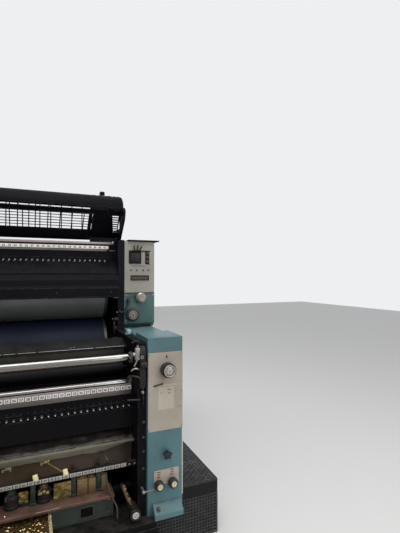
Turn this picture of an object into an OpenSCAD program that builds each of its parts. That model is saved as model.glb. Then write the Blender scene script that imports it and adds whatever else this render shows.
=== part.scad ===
/* [Press] */
// Length from the front columns to the rear columns
press_len = 3150; // [3000:10:3400]
// Half of the clear width between the two side frames
frame_in = 712; // [690:1:740]
// Thickness of a side frame
frame_t = 40; // [30:1:45]
// Depth of the frames' front edge behind the column face
frame_front = 20; // [10:1:30]
// Height of the lower storey's side frames above the plinth
low_h = 917; // [900:1:960]
// Front of the upper storey behind the column face
tower_front = 530; // [500:5:560]
// Depth of the upper storey
tower_d = 1220; // [1150:10:1400]
// Room above the scale strip of the upper duct
head_room = 20; // [16:1:30]

/* [Base] */
// Height of the cast plinth
plinth_h = 315; // [290:1:330]
// How far the plinth reaches past the side frames
plinth_side = 48; // [30:1:60]
// How far the plinth stands in front of the columns
plinth_nose = 58; // [56:1:80]

/* [Columns] */
// Gap between a side frame and its column
column_gap = 6; // [2:1:10]
// Width of a column
column_w = 200; // [190:1:220]
// Depth of a column, front to back
column_d = 250; // [220:1:300]
// Height of a column above the side frames
column_rise = 26; // [20:1:50]
// Edge rounding of the columns
column_round = 5; // [2:1:10]
// Width of the foot flange
foot_w = 158; // [140:1:170]
// How far the foot flange stands out
foot_out = 52; // [40:1:56]
// Height of the foot flange at its root
foot_h = 62; // [50:1:80]
// Height of the foot flange at its front edge
foot_lip = 26; // [20:1:32]
// Radius of the bolt hole in the foot flange
foot_hole_r = 9; // [6:0.5:12]
// Thickness of the light front panels
panel_t = 3; // [2:0.5:5]
// Gap between the top of a light front panel and the top of its column
panel_drop = 80; // [60:1:100]
// Height of the light front panels
panel_h = 420; // [400:1:440]
// Gap between the edge of a panel and the edge of its column
panel_edge = 2; // [1:0.5:4]
// How far the gear cases lie inside the columns' outer faces
case_inset = 8; // [4:1:20]

/* [Upper housings] */
// Height of the control box
box_h = 345; // [320:1:360]
// Depth of the control box
box_d = 90; // [70:1:120]
// Size of the slanted corner of the control box
box_bevel = 12; // [6:1:20]
// Gap between the top of the side frames and the top of the housings
house_drop = 6; // [2:1:12]
// Thickness of the shelf on the control box
shelf_t = 8; // [5:1:10]
// Depth of the shelf
shelf_d = 170; // [140:1:220]
// How far the shelf overhangs the control box
shelf_over = 28; // [15:1:40]

/* [Steps] */
// Width of a side step
step_w = 310; // [280:1:360]
// Gap between a step and its column
step_gap = 4; // [2:1:8]
// Distance of the steps from the front and the rear end of the press
step_end = 170; // [150:1:220]
// Height of the step deck above the plinth
step_rise = 7; // [2:1:12]
// Height of the dark skirt under the deck
skirt_h = 70; // [60:1:100]
// Rounding of the deck's outer corners
step_round = 26; // [15:1:40]
// How far the perforated base lies behind the skirt
step_inset = 12; // [5:1:20]

/* [Cylinders] */
// Radius of the printing cylinders
cyl_r = 190; // [186:0.5:194]
// Gap at the line where two cylinders meet
nip = 0.4; // [0.3:0.1:1]
// Gap between a cylinder body and a side frame
cyl_gap = 66; // [60:1:90]
// Width of the bearer ring at each end of a cylinder
bearer_w = 18; // [10:1:25]
// Radius of the cylinder journals
journal_r = 45; // [35:1:50]
// Radial clearance of journals and shafts
fit_gap = 0.3; // [0.2:0.05:0.5]
// Depth of the bearing pockets in the side frames
pocket = 28; // [20:1:28]
// Distance of the common cylinder behind the front of the upper storey
imp_back = 555; // [545:1:590]
// Depth of the common cylinder below the top of the lower storey
imp_drop = 232; // [220:1:242]

/* [Rollers] */
// Radius of the fountain roller of the upper duct
top_fount_r = 28; // [22:1:29]
// Radius of the fountain roller of the lower duct
low_fount_r = 23; // [18:1:25]
// Radius of the bright water roller
water_r = 24; // [18:1:26]
// Distance of the water roller behind the column face
water_y = 168; // [160:1:200]
// Radius of the shafts of these rollers
shaft_r = 11; // [8:0.5:12]
// Radius of the inking rollers
ink_r = 40; // [34:1:40]
// Gap between a roller body and a side frame
roller_gap = 22; // [15:1:40]

/* [Ink ducts] */
// Distance between the ink keys
key_pitch = 32; // [30:0.5:32]
// Number of ink keys on the lower duct
key_count = 44; // [36:1:44]
// Number of ink keys on the upper duct
top_key_count = 41; // [36:1:44]
// Radius of an ink key
key_r = 5; // [3:0.5:7]
// How far an ink key stands out
key_len = 16; // [10:1:24]
// Height of the ink keys above the bottom of their duct
key_rise = 14; // [8:1:30]
// Height of a duct block
duct_h = 92; // [86:1:96]
// Depth of a duct block
duct_d = 150; // [130:1:156]
// Front of the lower duct behind the column face
low_duct_y = 133; // [125:1:140]
// Depth of the bottom of the lower duct below the top of the lower storey
low_duct_drop = 370; // [362:1:376]
// Front of the upper duct behind the front of the upper storey
top_duct_back = 102; // [98:1:106]
// Height of a scale strip on a duct
scale_h = 38; // [30:1:39]
// Thickness of a scale strip
scale_t = 3; // [2:0.5:4]

/* [Hood] */
// Gap between the hood and the outer faces of the side frames
hood_gap = 4; // [2:1:20]
// Thickness of the hood's end plates
hood_end_t = 14; // [10:1:40]
// Thickness of the hood's sheet
hood_sheet = 6; // [4:1:8]
// Height of the hood's top above the side frames
hood_rise = 302; // [290:1:320]
// Gap under the hood's end plates
hood_lift = 8; // [6:1:12]
// Depth of the hood's top from its front edge
hood_d = 462; // [420:1:500]
// Width of the rubber stops on the hood
stop_w = 36; // [30:1:50]
// Height of the rubber stops on the hood
stop_h = 38; // [25:1:50]
// Distance of the rubber stops from the ends of the hood
stop_inset = 100; // [60:1:140]
// How far the ends of the grille lie inside the side frames
grille_end = 182; // [150:1:240]
// Distance of the hood hinge behind the front of the upper storey
hinge_back = 710; // [690:1:760]
// Height of the hood hinge above the side frames
hinge_rise = 52; // [48:1:64]
// Half of the height of the hinge arms
arm_half = 30; // [26:1:36]
// Radius of the hinge pins
hinge_r = 12; // [9:0.5:14]
// Thickness of a hinge bracket
bracket_t = 40; // [25:1:50]

/* [Controls] */
// Height of the upper wheel above the lower edge of its panel
wheel_rise = 328; // [300:1:350]
// Outer radius of the upper wheel
wheel_r = 40; // [34:1:45]
// How far the upper wheel stands out
wheel_out = 58; // [45:1:70]
// Height of the star knob above the plinth
star_rise = 318; // [300:1:335]
// Radius of the star knob
star_r = 24; // [18:1:28]
// Height of the two lower knobs above the plinth
low_knob_rise = 163; // [155:1:165]
// Distance between the two lower knobs
low_knob_pitch = 78; // [70:1:86]
// Outer radius of the lower knobs
low_knob_r = 26; // [20:1:30]
// How far the lower knobs stand out
low_knob_out = 46; // [35:1:55]
// Outer radius of the knob on the upper housing
up_knob_r = 43; // [34:1:46]
// Outer radius of the bright knob under the control box
bright_r = 34; // [26:1:38]
// How far these two knobs stand out
up_knob_out = 44; // [35:1:55]
// Radius of the knob shafts
knob_shaft_r = 8; // [5:0.5:9]
// Depth of the knob shafts in the housing
knob_depth = 20; // [12:1:30]
// Length of the bent lever
lever_len = 84; // [70:1:95]

/* [Front table] */
// Height of the top of the ledge above the plinth
ledge_rise = 127; // [118:1:135]
// Thickness of the ledge
ledge_t = 16; // [12:1:22]
// Gap between the ends of the ledge and the side frames
ledge_gap = 114; // [80:1:150]
// Height of the middle of the register bar above the plinth
bar_rise = 275; // [268:1:285]
// Height of the register bar
bar_h = 26; // [22:1:32]
// Height of the scale strip on the register bar
bar_scale_h = 18; // [14:1:20]
// Height of the rolled lip of the curled sheet above the register bar
guard_rise = 96; // [90:1:110]
// Radius of the rolled lip
lip_r = 12; // [9:1:14]
// Distance of the register bar behind the column face
bar_y = 48; // [44:1:60]
// Half of the width of the tread plate
tread_half = 285; // [280:1:360]
// Depth of the tread plate
tread_d = 300; // [250:1:350]
// Gap between the tread plate and the panel behind it
tread_gap = 6; // [2:1:12]
// Height of the tread plate below the top of the ledge
tread_drop = 34; // [32:1:44]
// Thickness of the tread plate
tread_t = 6; // [4:1:8]
// Distance of the panel under the ledge behind the column face
low_panel_y = 96; // [90:1:110]

// Height of the sheet blocks and drums on the ledge
lay_h = 84; // [70:1:90]
// Depth of a sheet block
lay_d = 48; // [40:1:56]
// Radius of a drum
drum_r = 34; // [30:1:36]

/* [Covers] */
// How far the stepped cover stands in front of the upper duct
cover_out = 132; // [120:1:140]
// Depth of the stepped cover below the upper duct
cover_drop = 226; // [200:1:232]
// Thickness of the stepped cover
cover_sheet = 8; // [5:1:10]

/* [Rear] */
// Thickness of the cover over the delivery
cover_t = 60; // [40:1:80]
// Thickness of the pile board
board_t = 40; // [25:1:60]
// Gap between the pile board and the side frames
board_gap = 40; // [20:1:60]

/* [Hidden] */
frame_out = frame_in + frame_t;
column_in = frame_out + column_gap;
column_out = column_in + column_w;
column_mid = (column_in + column_out) / 2;
plinth_half = frame_out + plinth_side;
step_half = column_out + step_w;
step_h = plinth_h + step_rise;
low_top = plinth_h + low_h;
column_top = low_top + column_rise;
house_low = column_top - 12;
tower_back = tower_front + tower_d;
low_panel_t = 20;
tread_back = low_panel_y - tread_gap;
front_y = tread_back - tread_d;
depth_mid = (front_y + press_len + panel_t) / 2;

// Lines between the cylinder centres, as angles above the rearward direction
blanket_up_a = 163;
plate_up_a = 90;
blanket_low_a = 234;
plate_low_a = 194;
nip_d = 2 * cyl_r + nip;
imp_c = [tower_front + imp_back, low_top - imp_drop];
blanket_up_c = along(imp_c, nip_d, blanket_up_a);
plate_up_c = along(blanket_up_c, nip_d, plate_up_a);
blanket_low_c = along(imp_c, nip_d, blanket_low_a);
plate_low_c = along(blanket_low_c, nip_d, plate_low_a);
cyl_half = frame_in - cyl_gap - bearer_w;
roller_half = frame_in - roller_gap;

top_duct_y = tower_front + top_duct_back;
top_duct_z = plate_up_c[1] + cyl_r - 3;
low_duct_z = low_top - low_duct_drop;
tower_top = top_duct_z + duct_h + scale_h + head_room;
house_top = tower_top - house_drop;
box_z = house_top - box_h;
low_fount_c = [low_duct_y + 60, low_duct_z + duct_h + 32];
top_fount_c = [top_duct_y + 88, top_duct_z + duct_h + top_fount_r - 1];
water_c = [water_y, low_fount_c[1] + 144];

hood_half = frame_out - hood_gap;
hood_in = hood_half - hood_end_t;
hood_top = tower_top + hood_rise;
hood_nose = tower_front + 8;
hood_back = hood_nose + hood_d;
hinge_c = [tower_front + hinge_back, tower_top + hinge_rise];
grille_half = frame_in - grille_end;

panel_z = column_top - panel_drop - panel_h;
wheel_x = column_mid + 5;
wheel_z = panel_z + wheel_rise;
star_z = plinth_h + star_rise;
low_knob_z = plinth_h + low_knob_rise;
low_knob_x1 = column_mid - 41;
low_knob_x2 = low_knob_x1 + low_knob_pitch;
upper_knob_c = [column_in + up_knob_r + 2, house_low + up_knob_r + 45];
bright_knob_c = [column_out - 100, box_z - bright_r + 3];
lever_c = [column_in + 20, box_z - 51];
lever_a = 222;

ledge_z = plinth_h + ledge_rise;
ledge_half = frame_in - ledge_gap;
tread_z = ledge_z - tread_drop;
bar_z = plinth_h + bar_rise;
bar_t = 22;
cap_r = 27;
cap_c = [frame_in - 28, plinth_h + 54];

teal = "#5b8083";
beige = "#b2a99c";
black = "#17171b";

function along(from, d, a) = from + d * [cos(a), sin(a)];

// Moves what is drawn from the column face to the part's own origin
module place() {
  translate([0, -depth_mid, 0]) children();
}

module both_sides() {
  children();
  mirror([1, 0, 0]) children();
}

// Block from one corner to the other
module block(x0, x1, y0, y1, z0, z1) {
  translate([x0, y0, z0]) cube([x1 - x0, y1 - y0, z1 - z0]);
}

// Extrudes an outline of the side view across the press, from x0 to x1
module across(x0, x1) {
  translate([x0, 0, 0]) rotate([90, 0, 90]) linear_extrude(x1 - x0) children();
}

// Rod across the press about a centre in the side view
module rod(c, r, x0, x1, fn = 96) {
  translate([x0, c[0], c[1]]) rotate([0, 90, 0]) cylinder(r = r, h = x1 - x0, $fn = fn);
}

// Upright box with rounded vertical edges
module rounded_block(x0, x1, y0, y1, z0, z1, r) {
  translate([0, 0, z0]) linear_extrude(z1 - z0)
    translate([x0 + r, y0 + r]) offset(r = r, $fn = 32) square([x1 - x0 - 2 * r, y1 - y0 - 2 * r]);
}

module plinth() {
  color(black) place()
    block(-plinth_half, plinth_half, -plinth_nose, press_len, 0, plinth_h);
}

module side_frame_outline() {
  polygon([
    [frame_front, plinth_h], [press_len - frame_front, plinth_h],
    [press_len - frame_front, low_top], [tower_back, low_top], [tower_back, tower_top],
    [tower_front, tower_top], [tower_front, low_top], [frame_front, low_top]
  ]);
}

// Side frame with its bearing pockets on the inner side
module side_frame() {
  difference() {
    across(frame_in, frame_out) side_frame_outline();
    for (c = [plate_up_c, blanket_up_c])
      rod(c, journal_r + fit_gap, frame_in - 1, frame_in + pocket);
    for (c = [top_fount_c, low_fount_c, water_c])
      rod(c, shaft_r + fit_gap, frame_in - 1, frame_in + pocket);
  }
}

module operator_side_frame() {
  color(black) place() side_frame();
}

module drive_side_frame() {
  color(black) place() mirror([1, 0, 0]) side_frame();
}

module foot_flange() {
  foot_x = column_out - 14 - foot_w;
  difference() {
    across(foot_x, foot_x + foot_w)
      polygon([
        [0, plinth_h], [0, plinth_h + foot_h], [-8, plinth_h + foot_h],
        [-foot_out, plinth_h + foot_lip], [-foot_out, plinth_h]
      ]);
    translate([foot_x + 24, -foot_out / 2 - 4, plinth_h - 1])
      cylinder(r = foot_hole_r, h = foot_h + 2, $fn = 48);
  }
}

module column_body() {
  rounded_block(column_in, column_out, 0, column_d, plinth_h, column_top, column_round);
}

module knob_hole(x, z, y) {
  translate([x, y - 1, z]) rotate([-90, 0, 0])
    cylinder(r = knob_shaft_r + fit_gap, h = knob_depth + 2, $fn = 48);
}

module operator_column() {
  color(teal) place()
    difference() {
      union() {
        column_body();
        foot_flange();
      }
      knob_hole(wheel_x, wheel_z, 0);
      knob_hole(wheel_x, star_z, 0);
      knob_hole(low_knob_x1, low_knob_z, 0);
      knob_hole(low_knob_x2, low_knob_z, 0);
    }
}

module drive_column() {
  color(teal) place() mirror([1, 0, 0]) {
    column_body();
    foot_flange();
  }
}

module rear_columns() {
  color(teal) place() both_sides()
    translate([0, press_len - column_d, 0]) column_body();
}

module column_panel() {
  block(
    column_in + panel_edge, column_out - panel_edge, -panel_t, 0, panel_z, panel_z + panel_h
  );
}

module front_panels() {
  color(beige) place() {
    difference() {
      column_panel();
      translate([0, -panel_t, 0]) knob_hole(wheel_x, wheel_z, 0);
    }
    mirror([1, 0, 0]) column_panel();
    both_sides() translate([0, press_len + panel_t, 0]) column_panel();
  }
}

// Housing of the gears beside a side frame
module gear_case() {
  block(
    frame_out, column_out - case_inset, column_d, press_len - column_d, plinth_h, house_low
  );
}

module operator_gear_case() {
  color(teal) place() gear_case();
}

module drive_gear_case() {
  color(teal) place() mirror([1, 0, 0]) gear_case();
}

// Bracket that carries one hinge pin of the hood
module hood_bracket() {
  x0 = frame_out + 2;
  difference() {
    across(x0, x0 + bracket_t)
      polygon([
        [hinge_c[0] - 60, house_top], [hinge_c[0] + 60, house_top],
        [hinge_c[0] + arm_half, hinge_c[1] + arm_half - 4],
        [hinge_c[0] - arm_half, hinge_c[1] + arm_half - 4]
      ]);
    rod(hinge_c, hinge_r + fit_gap, x0 - 1, x0 + bracket_t + 1, 64);
  }
}

module upper_housing() {
  hood_bracket();
  difference() {
    across(frame_out, column_out)
      polygon([
        [tower_front, house_low + 30], [tower_front + 40, house_low],
        [tower_back, house_low], [tower_back, house_top],
        [tower_front + box_d, house_top], [tower_front + box_d, box_z], [tower_front, box_z]
      ]);
    children();
  }
}

module operator_upper_housing() {
  color(teal) place() upper_housing() {
    knob_hole(upper_knob_c[0], upper_knob_c[1], tower_front);
    knob_hole(bright_knob_c[0], bright_knob_c[1], tower_front);
    knob_hole(lever_c[0], lever_c[1], tower_front);
  }
}

module drive_upper_housing() {
  color(teal) place() mirror([1, 0, 0]) upper_housing();
}

module head_box() {
  translate([0, tower_front + box_d, 0]) rotate([90, 0, 0]) linear_extrude(box_d)
    polygon([
      [frame_out, box_z], [column_out, box_z], [column_out, house_top - box_bevel],
      [column_out - box_bevel, house_top], [frame_out, house_top]
    ]);
}

module control_box() {
  color(beige) place() head_box();
}

module drive_box() {
  color(beige) place() mirror([1, 0, 0]) head_box();
}

module box_shelves() {
  color(black) place() both_sides()
    block(
      column_in + 16, column_out + shelf_over, tower_front - 20, tower_front - 20 + shelf_d,
      house_top, house_top + shelf_t
    );
}

// Side step: deck with its skirt on a set-back perforated base
module side_step() {
  y0 = step_end;
  y1 = press_len - step_end;
  skirt_z = step_h - skirt_h;
  rounded_block(column_out + step_gap, step_half, y0, y1, skirt_z, step_h, step_round);
  block(plinth_half, step_half - step_inset, y0 + step_inset, y1 - step_inset, 0, skirt_z);
}

module operator_step() {
  color(black) place() side_step();
}

module drive_step() {
  color(black) place() mirror([1, 0, 0]) side_step();
}

// Side view of the top and nose sheet of the hood
module hood_sheet_outline() {
  t = hood_sheet;
  y = hood_nose;
  z = hood_top;
  polygon([
    [hood_back, z], [y + 102, z], [y + 66, z - 8], [y + 32, z - 26], [y + 10, z - 52],
    [y, z - 92], [y + t, z - 92], [y + 10 + t, z - 54], [y + 36, z - 26 - t],
    [y + 68, z - 8 - t], [y + 103, z - t], [hood_back, z - t]
  ]);
}

module hood_cover() {
  color(black) place() {
    across(-hood_half, hood_half) hood_sheet_outline();
    both_sides()
      block(
        hood_half - stop_inset - stop_w, hood_half - stop_inset, hood_nose + 130, hood_nose + 180,
        hood_top, hood_top + stop_h
      );
  }
}

// Side view of the hood's end plates, under the sheet
module hood_end_outline() {
  t = hood_sheet;
  y = hood_nose;
  z = hood_top;
  low = tower_top + hood_lift;
  polygon([
    [hood_back, z - t], [y + 103, z - t], [y + 68, z - 8 - t], [y + 36, z - 26 - t],
    [y + 10 + t, z - 54], [y + t, z - 92], [y - 38, z - 94], [y - 60, z - 120],
    [y - 44, z - 172], [y + 80, low], [y + 162, low], [y + 202, low + 52],
    [hinge_c[0] - arm_half - 10, hinge_c[1] - arm_half],
    [hinge_c[0] + arm_half, hinge_c[1] - arm_half], [hinge_c[0] + arm_half, hinge_c[1] + arm_half]
  ]);
}

// Opening in each end plate, behind the grille
module hood_end_window() {
  y = hood_nose;
  z = hood_top;
  low = tower_top + hood_lift + 75;
  polygon([
    [y + 74, low], [y + 74, z - 100], [y + 134, z - 46], [hood_back - 4, z - 46],
    [hood_back + 61, z - 141], [hood_back + 2, low]
  ]);
}

module hood_ends() {
  color(black) place() both_sides() {
    across(hood_in, hood_half)
      difference() {
        hood_end_outline();
        hood_end_window();
      }
    rod(hinge_c, hinge_r, hood_half, frame_out + 2 + bracket_t, 64);
  }
}

// The grille lies in the slanted front of the hood, from its upper to its lower edge
grille_from = [hood_nose + 14, hood_top - 110];
grille_to = [hood_nose + 180, tower_top + 24];
grille_run = norm(grille_to - grille_from);
grille_tilt = atan2(grille_to[1] - grille_from[1], grille_to[0] - grille_from[0]);
grille_bars = 5;
grille_pitch = 73;
grille_shift = -10;
grille_rim = 36;
grille_low_rim = 68;
louvre_slots = 8;
louvre_step = 18.9;
louvre_h = 13;
louvre_from = 41;

// Sheet in the plane of the grille, between two distances from its upper edge
module grille_sheet(x0, x1, s0, s1, t) {
  translate([0, grille_from[0], grille_from[1]]) rotate([grille_tilt, 0, 0])
    block(x0, x1, s0, s1, 0, t);
}

// Closed end of the grille with its slots, narrower towards the bottom
module grille_end_sheet() {
  difference() {
    grille_sheet(grille_half, hood_in, -16, grille_run, hood_sheet);
    for (i = [0 : louvre_slots - 1])
      translate([0, 0, -1])
        grille_sheet(
          hood_in - 52 + i * 3.3, hood_in - 9 + i * 0.6, louvre_from + i * louvre_step,
          louvre_from + i * louvre_step + louvre_h, hood_sheet + 4
        );
  }
}

module hood_grille() {
  step = (grille_run - grille_rim - grille_low_rim) / (grille_bars + 1);
  count = floor((grille_half + grille_shift) / grille_pitch);
  low = grille_run - grille_low_rim;
  color(black) place() {
    both_sides() grille_end_sheet();
    grille_sheet(-grille_half - 1, grille_half + 1, 0, grille_rim, hood_sheet);
    grille_sheet(-grille_half - 1, grille_half + 1, low, grille_run, hood_sheet);
    for (i = [1 : grille_bars])
      grille_sheet(
        -grille_half - 1, grille_half + 1, grille_rim + i * step - 1.5, grille_rim + i * step + 1.5, 3
      );
    for (i = [-count : count])
      translate([i * grille_pitch + grille_shift, 0, 0])
        grille_sheet(-2, 2, grille_rim - 1, low + 1, 5);
  }
}

// Trough of an ink duct with its roller bed
module duct_body(y, z, c, r) {
  top = z + duct_h;
  difference() {
    across(-frame_in, frame_in)
      polygon([
        [y, z], [y, top + scale_h], [y + 12, top + scale_h], [y + 40, top + 10],
        [y + duct_d, top + 10], [y + duct_d, z + 52], [y + 60, z + 30], [y + 26, z + 30],
        [y + 26, z]
      ]);
    rod(c, r + 3, -frame_in - 1, frame_in + 1);
  }
}

module upper_ink_duct() {
  color(black) place() duct_body(top_duct_y, top_duct_z, top_fount_c, top_fount_r);
}

module lower_ink_duct() {
  color(black) place() duct_body(low_duct_y, low_duct_z, low_fount_c, low_fount_r);
}

// Row of ink keys along a duct
module key_row(y, z, count) {
  for (i = [0 : count - 1])
    translate([(i - (count - 1) / 2) * key_pitch, y, z]) rotate([90, 0, 0])
      cylinder(r = key_r, h = key_len, $fn = 24);
}

module ink_keys() {
  color("silver") place() {
    key_row(low_duct_y, low_duct_z + key_rise, key_count);
    key_row(top_duct_y, top_duct_z + key_rise, top_key_count);
  }
}

module scale_strip(y, z, half, h) {
  block(-half, half, y - scale_t, y, z, z + h);
}

module scale_strips() {
  color("#cfc8c2") place() {
    scale_strip(low_duct_y, low_duct_z + duct_h, frame_in - 12, scale_h);
    scale_strip(top_duct_y, top_duct_z + duct_h, frame_in - 50, scale_h);
    scale_strip(bar_y, bar_z - bar_scale_h / 2, frame_in - 56, bar_scale_h);
  }
}

// Roller with a reduced shaft at both ends
module roller(c, r, half) {
  reach = frame_in + pocket - 0.5;
  rod(c, r, -half, half);
  rod(c, shaft_r, -reach, reach, 64);
}

module upper_fountain_roller() {
  color("silver") place() roller(top_fount_c, top_fount_r, roller_half);
}

module lower_fountain_roller() {
  color("silver") place() roller(low_fount_c, low_fount_r, roller_half);
}

module water_roller() {
  color("silver") place() roller(water_c, water_r, roller_half);
}

// Printing cylinder with a bearer ring and a journal at both ends
module printing_cylinder(c, reach) {
  rod(c, cyl_r - 1.5, -cyl_half, cyl_half, 160);
  both_sides() rod(c, cyl_r, cyl_half, cyl_half + bearer_w, 160);
  rod(c, journal_r, -reach, reach);
}

running_reach = frame_in + pocket - 0.5;

module upper_plate_cylinder() {
  color("#6a706c") place() printing_cylinder(plate_up_c, running_reach);
}

module upper_blanket_cylinder() {
  color("#1c2740") place() printing_cylinder(blanket_up_c, running_reach);
}

module common_cylinder() {
  color("#8a8d8e") place() printing_cylinder(imp_c, frame_in);
}

module lower_blanket_cylinder() {
  color("#1c2740") place() printing_cylinder(blanket_low_c, frame_in);
}

module lower_plate_cylinder() {
  color("#6a706c") place() printing_cylinder(plate_low_c, frame_in);
}

// Inking rollers lie on a plate cylinder at these angles, with others above them
ink_d = cyl_r + ink_r + nip;
ink_up = [for (a = [34, 60]) along(plate_up_c, ink_d, a)];
ink_low = [for (a = [60, 95, 130]) along(plate_low_c, ink_d, a)];
ink_more = [
  along(plate_up_c, ink_d + 66, 48),
  along(plate_low_c, ink_d + 96, 78), along(plate_low_c, ink_d + 96, 106),
  low_fount_c + [196, 28]
];
ductor_c = low_fount_c + [112, 62];
ductor_r = ink_r - 8;

module inking_roller(c, r) {
  rod(c, r, -roller_half, roller_half);
  rod(c, shaft_r, -frame_in, frame_in, 48);
}

module inking_rollers() {
  color("#26221f") place() {
    for (c = concat(ink_up, ink_low, ink_more)) inking_roller(c, ink_r);
    inking_roller(ductor_c, ductor_r);
  }
}

// Dark stepped cover in front of the upper plate cylinder
module upper_covers() {
  y = top_duct_y;
  z = top_duct_z;
  a = cover_out;
  b = cover_drop;
  t = cover_sheet;
  color(black) place()
    across(-frame_in, frame_in)
      polygon([
        [y, z], [y - a * 0.26, z - b * 0.1], [y - a * 0.7, z - b * 0.3],
        [y - a * 0.7, z - b * 0.37], [y - a * 0.91, z - b * 0.5], [y - a * 0.91, z - b * 0.66],
        [y - a, z - b * 0.73], [y - a, z - b], [y - a + t, z - b], [y - a + t, z - b * 0.74],
        [y - a * 0.91 + t, z - b * 0.67], [y - a * 0.91 + t, z - b * 0.5 - t / 3],
        [y - a * 0.7 + t, z - b * 0.37 - t / 3], [y - a * 0.7 + t, z - b * 0.3 - t / 2],
        [y - a * 0.26 + t / 2, z - b * 0.1 - t], [y + t, z]
      ]);
}

// Bent sheet in front of the blanket cylinder
module apron_plate() {
  y = water_c[0] + 128;
  z = water_c[1] + 30;
  color(black) place()
    across(-frame_in, frame_in)
      polygon([
        [y, z], [y, z + 14], [y + 106, z + 46], [y + 122, z + 46], [y + 122, z + 32],
        [y + 108, z + 32], [y + 8, z]
      ]);
}

// Folded sheet under the lower duct
module lower_guard() {
  y = low_duct_y - 8;
  z = low_duct_z;
  t = 6;
  low = bar_z + guard_rise + 2 * lip_r + 48;
  color(black) place()
    across(-frame_in, frame_in)
      polygon([[y, low], [y, z], [y + 34, z], [y + 34, z - t], [y + t, z - t], [y + t, low]]);
}

// Curled sheet across the press, with a rolled upper lip and a tray that rises behind it
module guard_bar() {
  y = low_duct_y - 33;
  z = bar_z + guard_rise;
  color("#565b52") place()
    across(-frame_in, frame_in)
      union() {
        translate([y + lip_r, z]) circle(r = lip_r, $fn = 48);
        polygon([
          [y + lip_r, z + lip_r], [y + lip_r, z + 6], [y + 40, z - 8], [y + 54, z - 40], [y + 62, z - 96],
          [y + 66, z - 136], [y + 70, z - 136], [y + 67, z - 96], [y + 60, z - 38],
          [y + 46, z - 4], [y + 24, z + 10]
        ]);
        polygon([
          [y + 28, z - 1], [y + 30, z + 4], [y + 48, z + 11], [y + 62, z + 23], [y + 81, z + 43],
          [y + 115, z + 61], [y + 117, z + 58], [y + 83, z + 40], [y + 64, z + 20], [y + 50, z + 8]
        ]);
      }
}

module register_bar() {
  color("#3a3733") place()
    block(-frame_in, frame_in, bar_y, bar_y + bar_t, bar_z - bar_h / 2, bar_z + bar_h / 2);
}

stop_x = [-560, -352, -214, 0, 214, 352, 560];

module brass_stops() {
  top = bar_z + bar_h / 2;
  color("#d8c88a") place()
    for (x = stop_x) {
      block(x - 12, x + 12, bar_y - 4, bar_y + bar_t + 4, top, top + 5);
      block(x - 9, x + 9, bar_y + 4, bar_y + bar_t - 4, top + 5, top + 26);
    }
}

// Under the register bar, from the middle outwards: drums, uprights and sheet blocks
drum_x = [103, 254];
upright_x = [202, 397, 525];
block_x = [[143, 180], [301, 381], [414, 467], [471, 510], [541, 563]];
lay_y = low_panel_y + 24;

module lay_blocks() {
  color("#7b6a4b") place() both_sides()
    for (b = block_x)
      block(b[0], b[1], lay_y, lay_y + lay_d, ledge_z, ledge_z + lay_h);
}

module lay_uprights() {
  color("#27342f") place() both_sides()
    for (x = upright_x)
      block(x - 12, x + 12, lay_y + 4, lay_y + 40, ledge_z, bar_z - 20);
}

module lay_drums() {
  color("#2e2a26") place() both_sides()
    for (x = drum_x)
      translate([x, lay_y + drum_r - 6, ledge_z]) {
        cylinder(r = drum_r, h = lay_h - 26, $fn = 64);
        translate([0, 0, lay_h - 26]) cylinder(r1 = drum_r, r2 = drum_r * 0.6, h = 12, $fn = 64);
      }
}

module front_ledge() {
  z = ledge_z - ledge_t;
  y1 = lay_y + 2 * drum_r;
  color("#5b3f33") place() {
    block(-ledge_half, ledge_half, low_panel_y - 40, y1, z, ledge_z);
    block(-frame_in, frame_in, y1 - 40, y1, z - 30, z);
  }
}

module lower_panel() {
  y = low_panel_y;
  color("#3a4540") place()
    difference() {
      block(-ledge_half, ledge_half, y, y + low_panel_t, plinth_h, ledge_z - ledge_t);
      both_sides() block(430, 492, y - 6, y + 12, plinth_h + 20, plinth_h + 76);
    }
}

module tread_plate() {
  leg_z = tread_z - tread_t;
  color("#8a6f45") place() {
    block(-tread_half, tread_half, front_y, tread_back, leg_z, tread_z);
    both_sides() {
      block(tread_half - 30, tread_half - 6, front_y + 20, -plinth_nose, 0, leg_z);
      block(tread_half - 30, tread_half - 6, -plinth_nose, tread_back - 6, plinth_h, leg_z);
    }
  }
}

// Cast brackets in front of the side frames at the roller ends
module roller_brackets() {
  y = frame_front;
  z = low_duct_z + duct_h;
  color("#26272a") place() both_sides()
    across(frame_in + 4, frame_out - 6)
      polygon([
        [y, z + 34], [y - 22, z + 46], [y - 28, z + 106], [y - 18, z + 150],
        [y - 30, z + 210], [y - 22, z + 252], [y, z + 266]
      ]);
}

// Capped shaft ends low on the side frames, each with its arm
module shaft_ends() {
  arm_top = [cap_c[0] - 58, cap_c[1] + 136];
  color("#1c1b1c") place() both_sides() {
    translate([cap_c[0], -50, cap_c[1]]) rotate([-90, 0, 0]) cylinder(r = cap_r, h = 90, $fn = 64);
    block(cap_c[0] - 16, frame_in, 4, 40, plinth_h, cap_c[1]);
    hull() {
      translate([cap_c[0], 2, cap_c[1]]) rotate([-90, 0, 0]) cylinder(r = 14, h = 22, $fn = 32);
      translate([arm_top[0], 2, arm_top[1]]) rotate([-90, 0, 0]) cylinder(r = 9, h = 22, $fn = 32);
    }
  }
}

module tower_back_panel() {
  color(teal) place()
    block(-frame_in, frame_in, tower_back - 12, tower_back, plinth_h, tower_top - 12);
}

module tower_top_cover() {
  color(black) place()
    block(-frame_in, frame_in, top_duct_y + 250, tower_back - 12, tower_top - 24, tower_top - 12);
}

module delivery_cover() {
  color(black) place()
    block(-frame_in, frame_in, tower_back, press_len - frame_front, low_top - cover_t, low_top);
}

module pile_board() {
  half = frame_in - board_gap;
  color("#8c7a5c") place()
    block(-half, half, tower_back + 300, press_len - 60, plinth_h, plinth_h + board_t);
}

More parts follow.
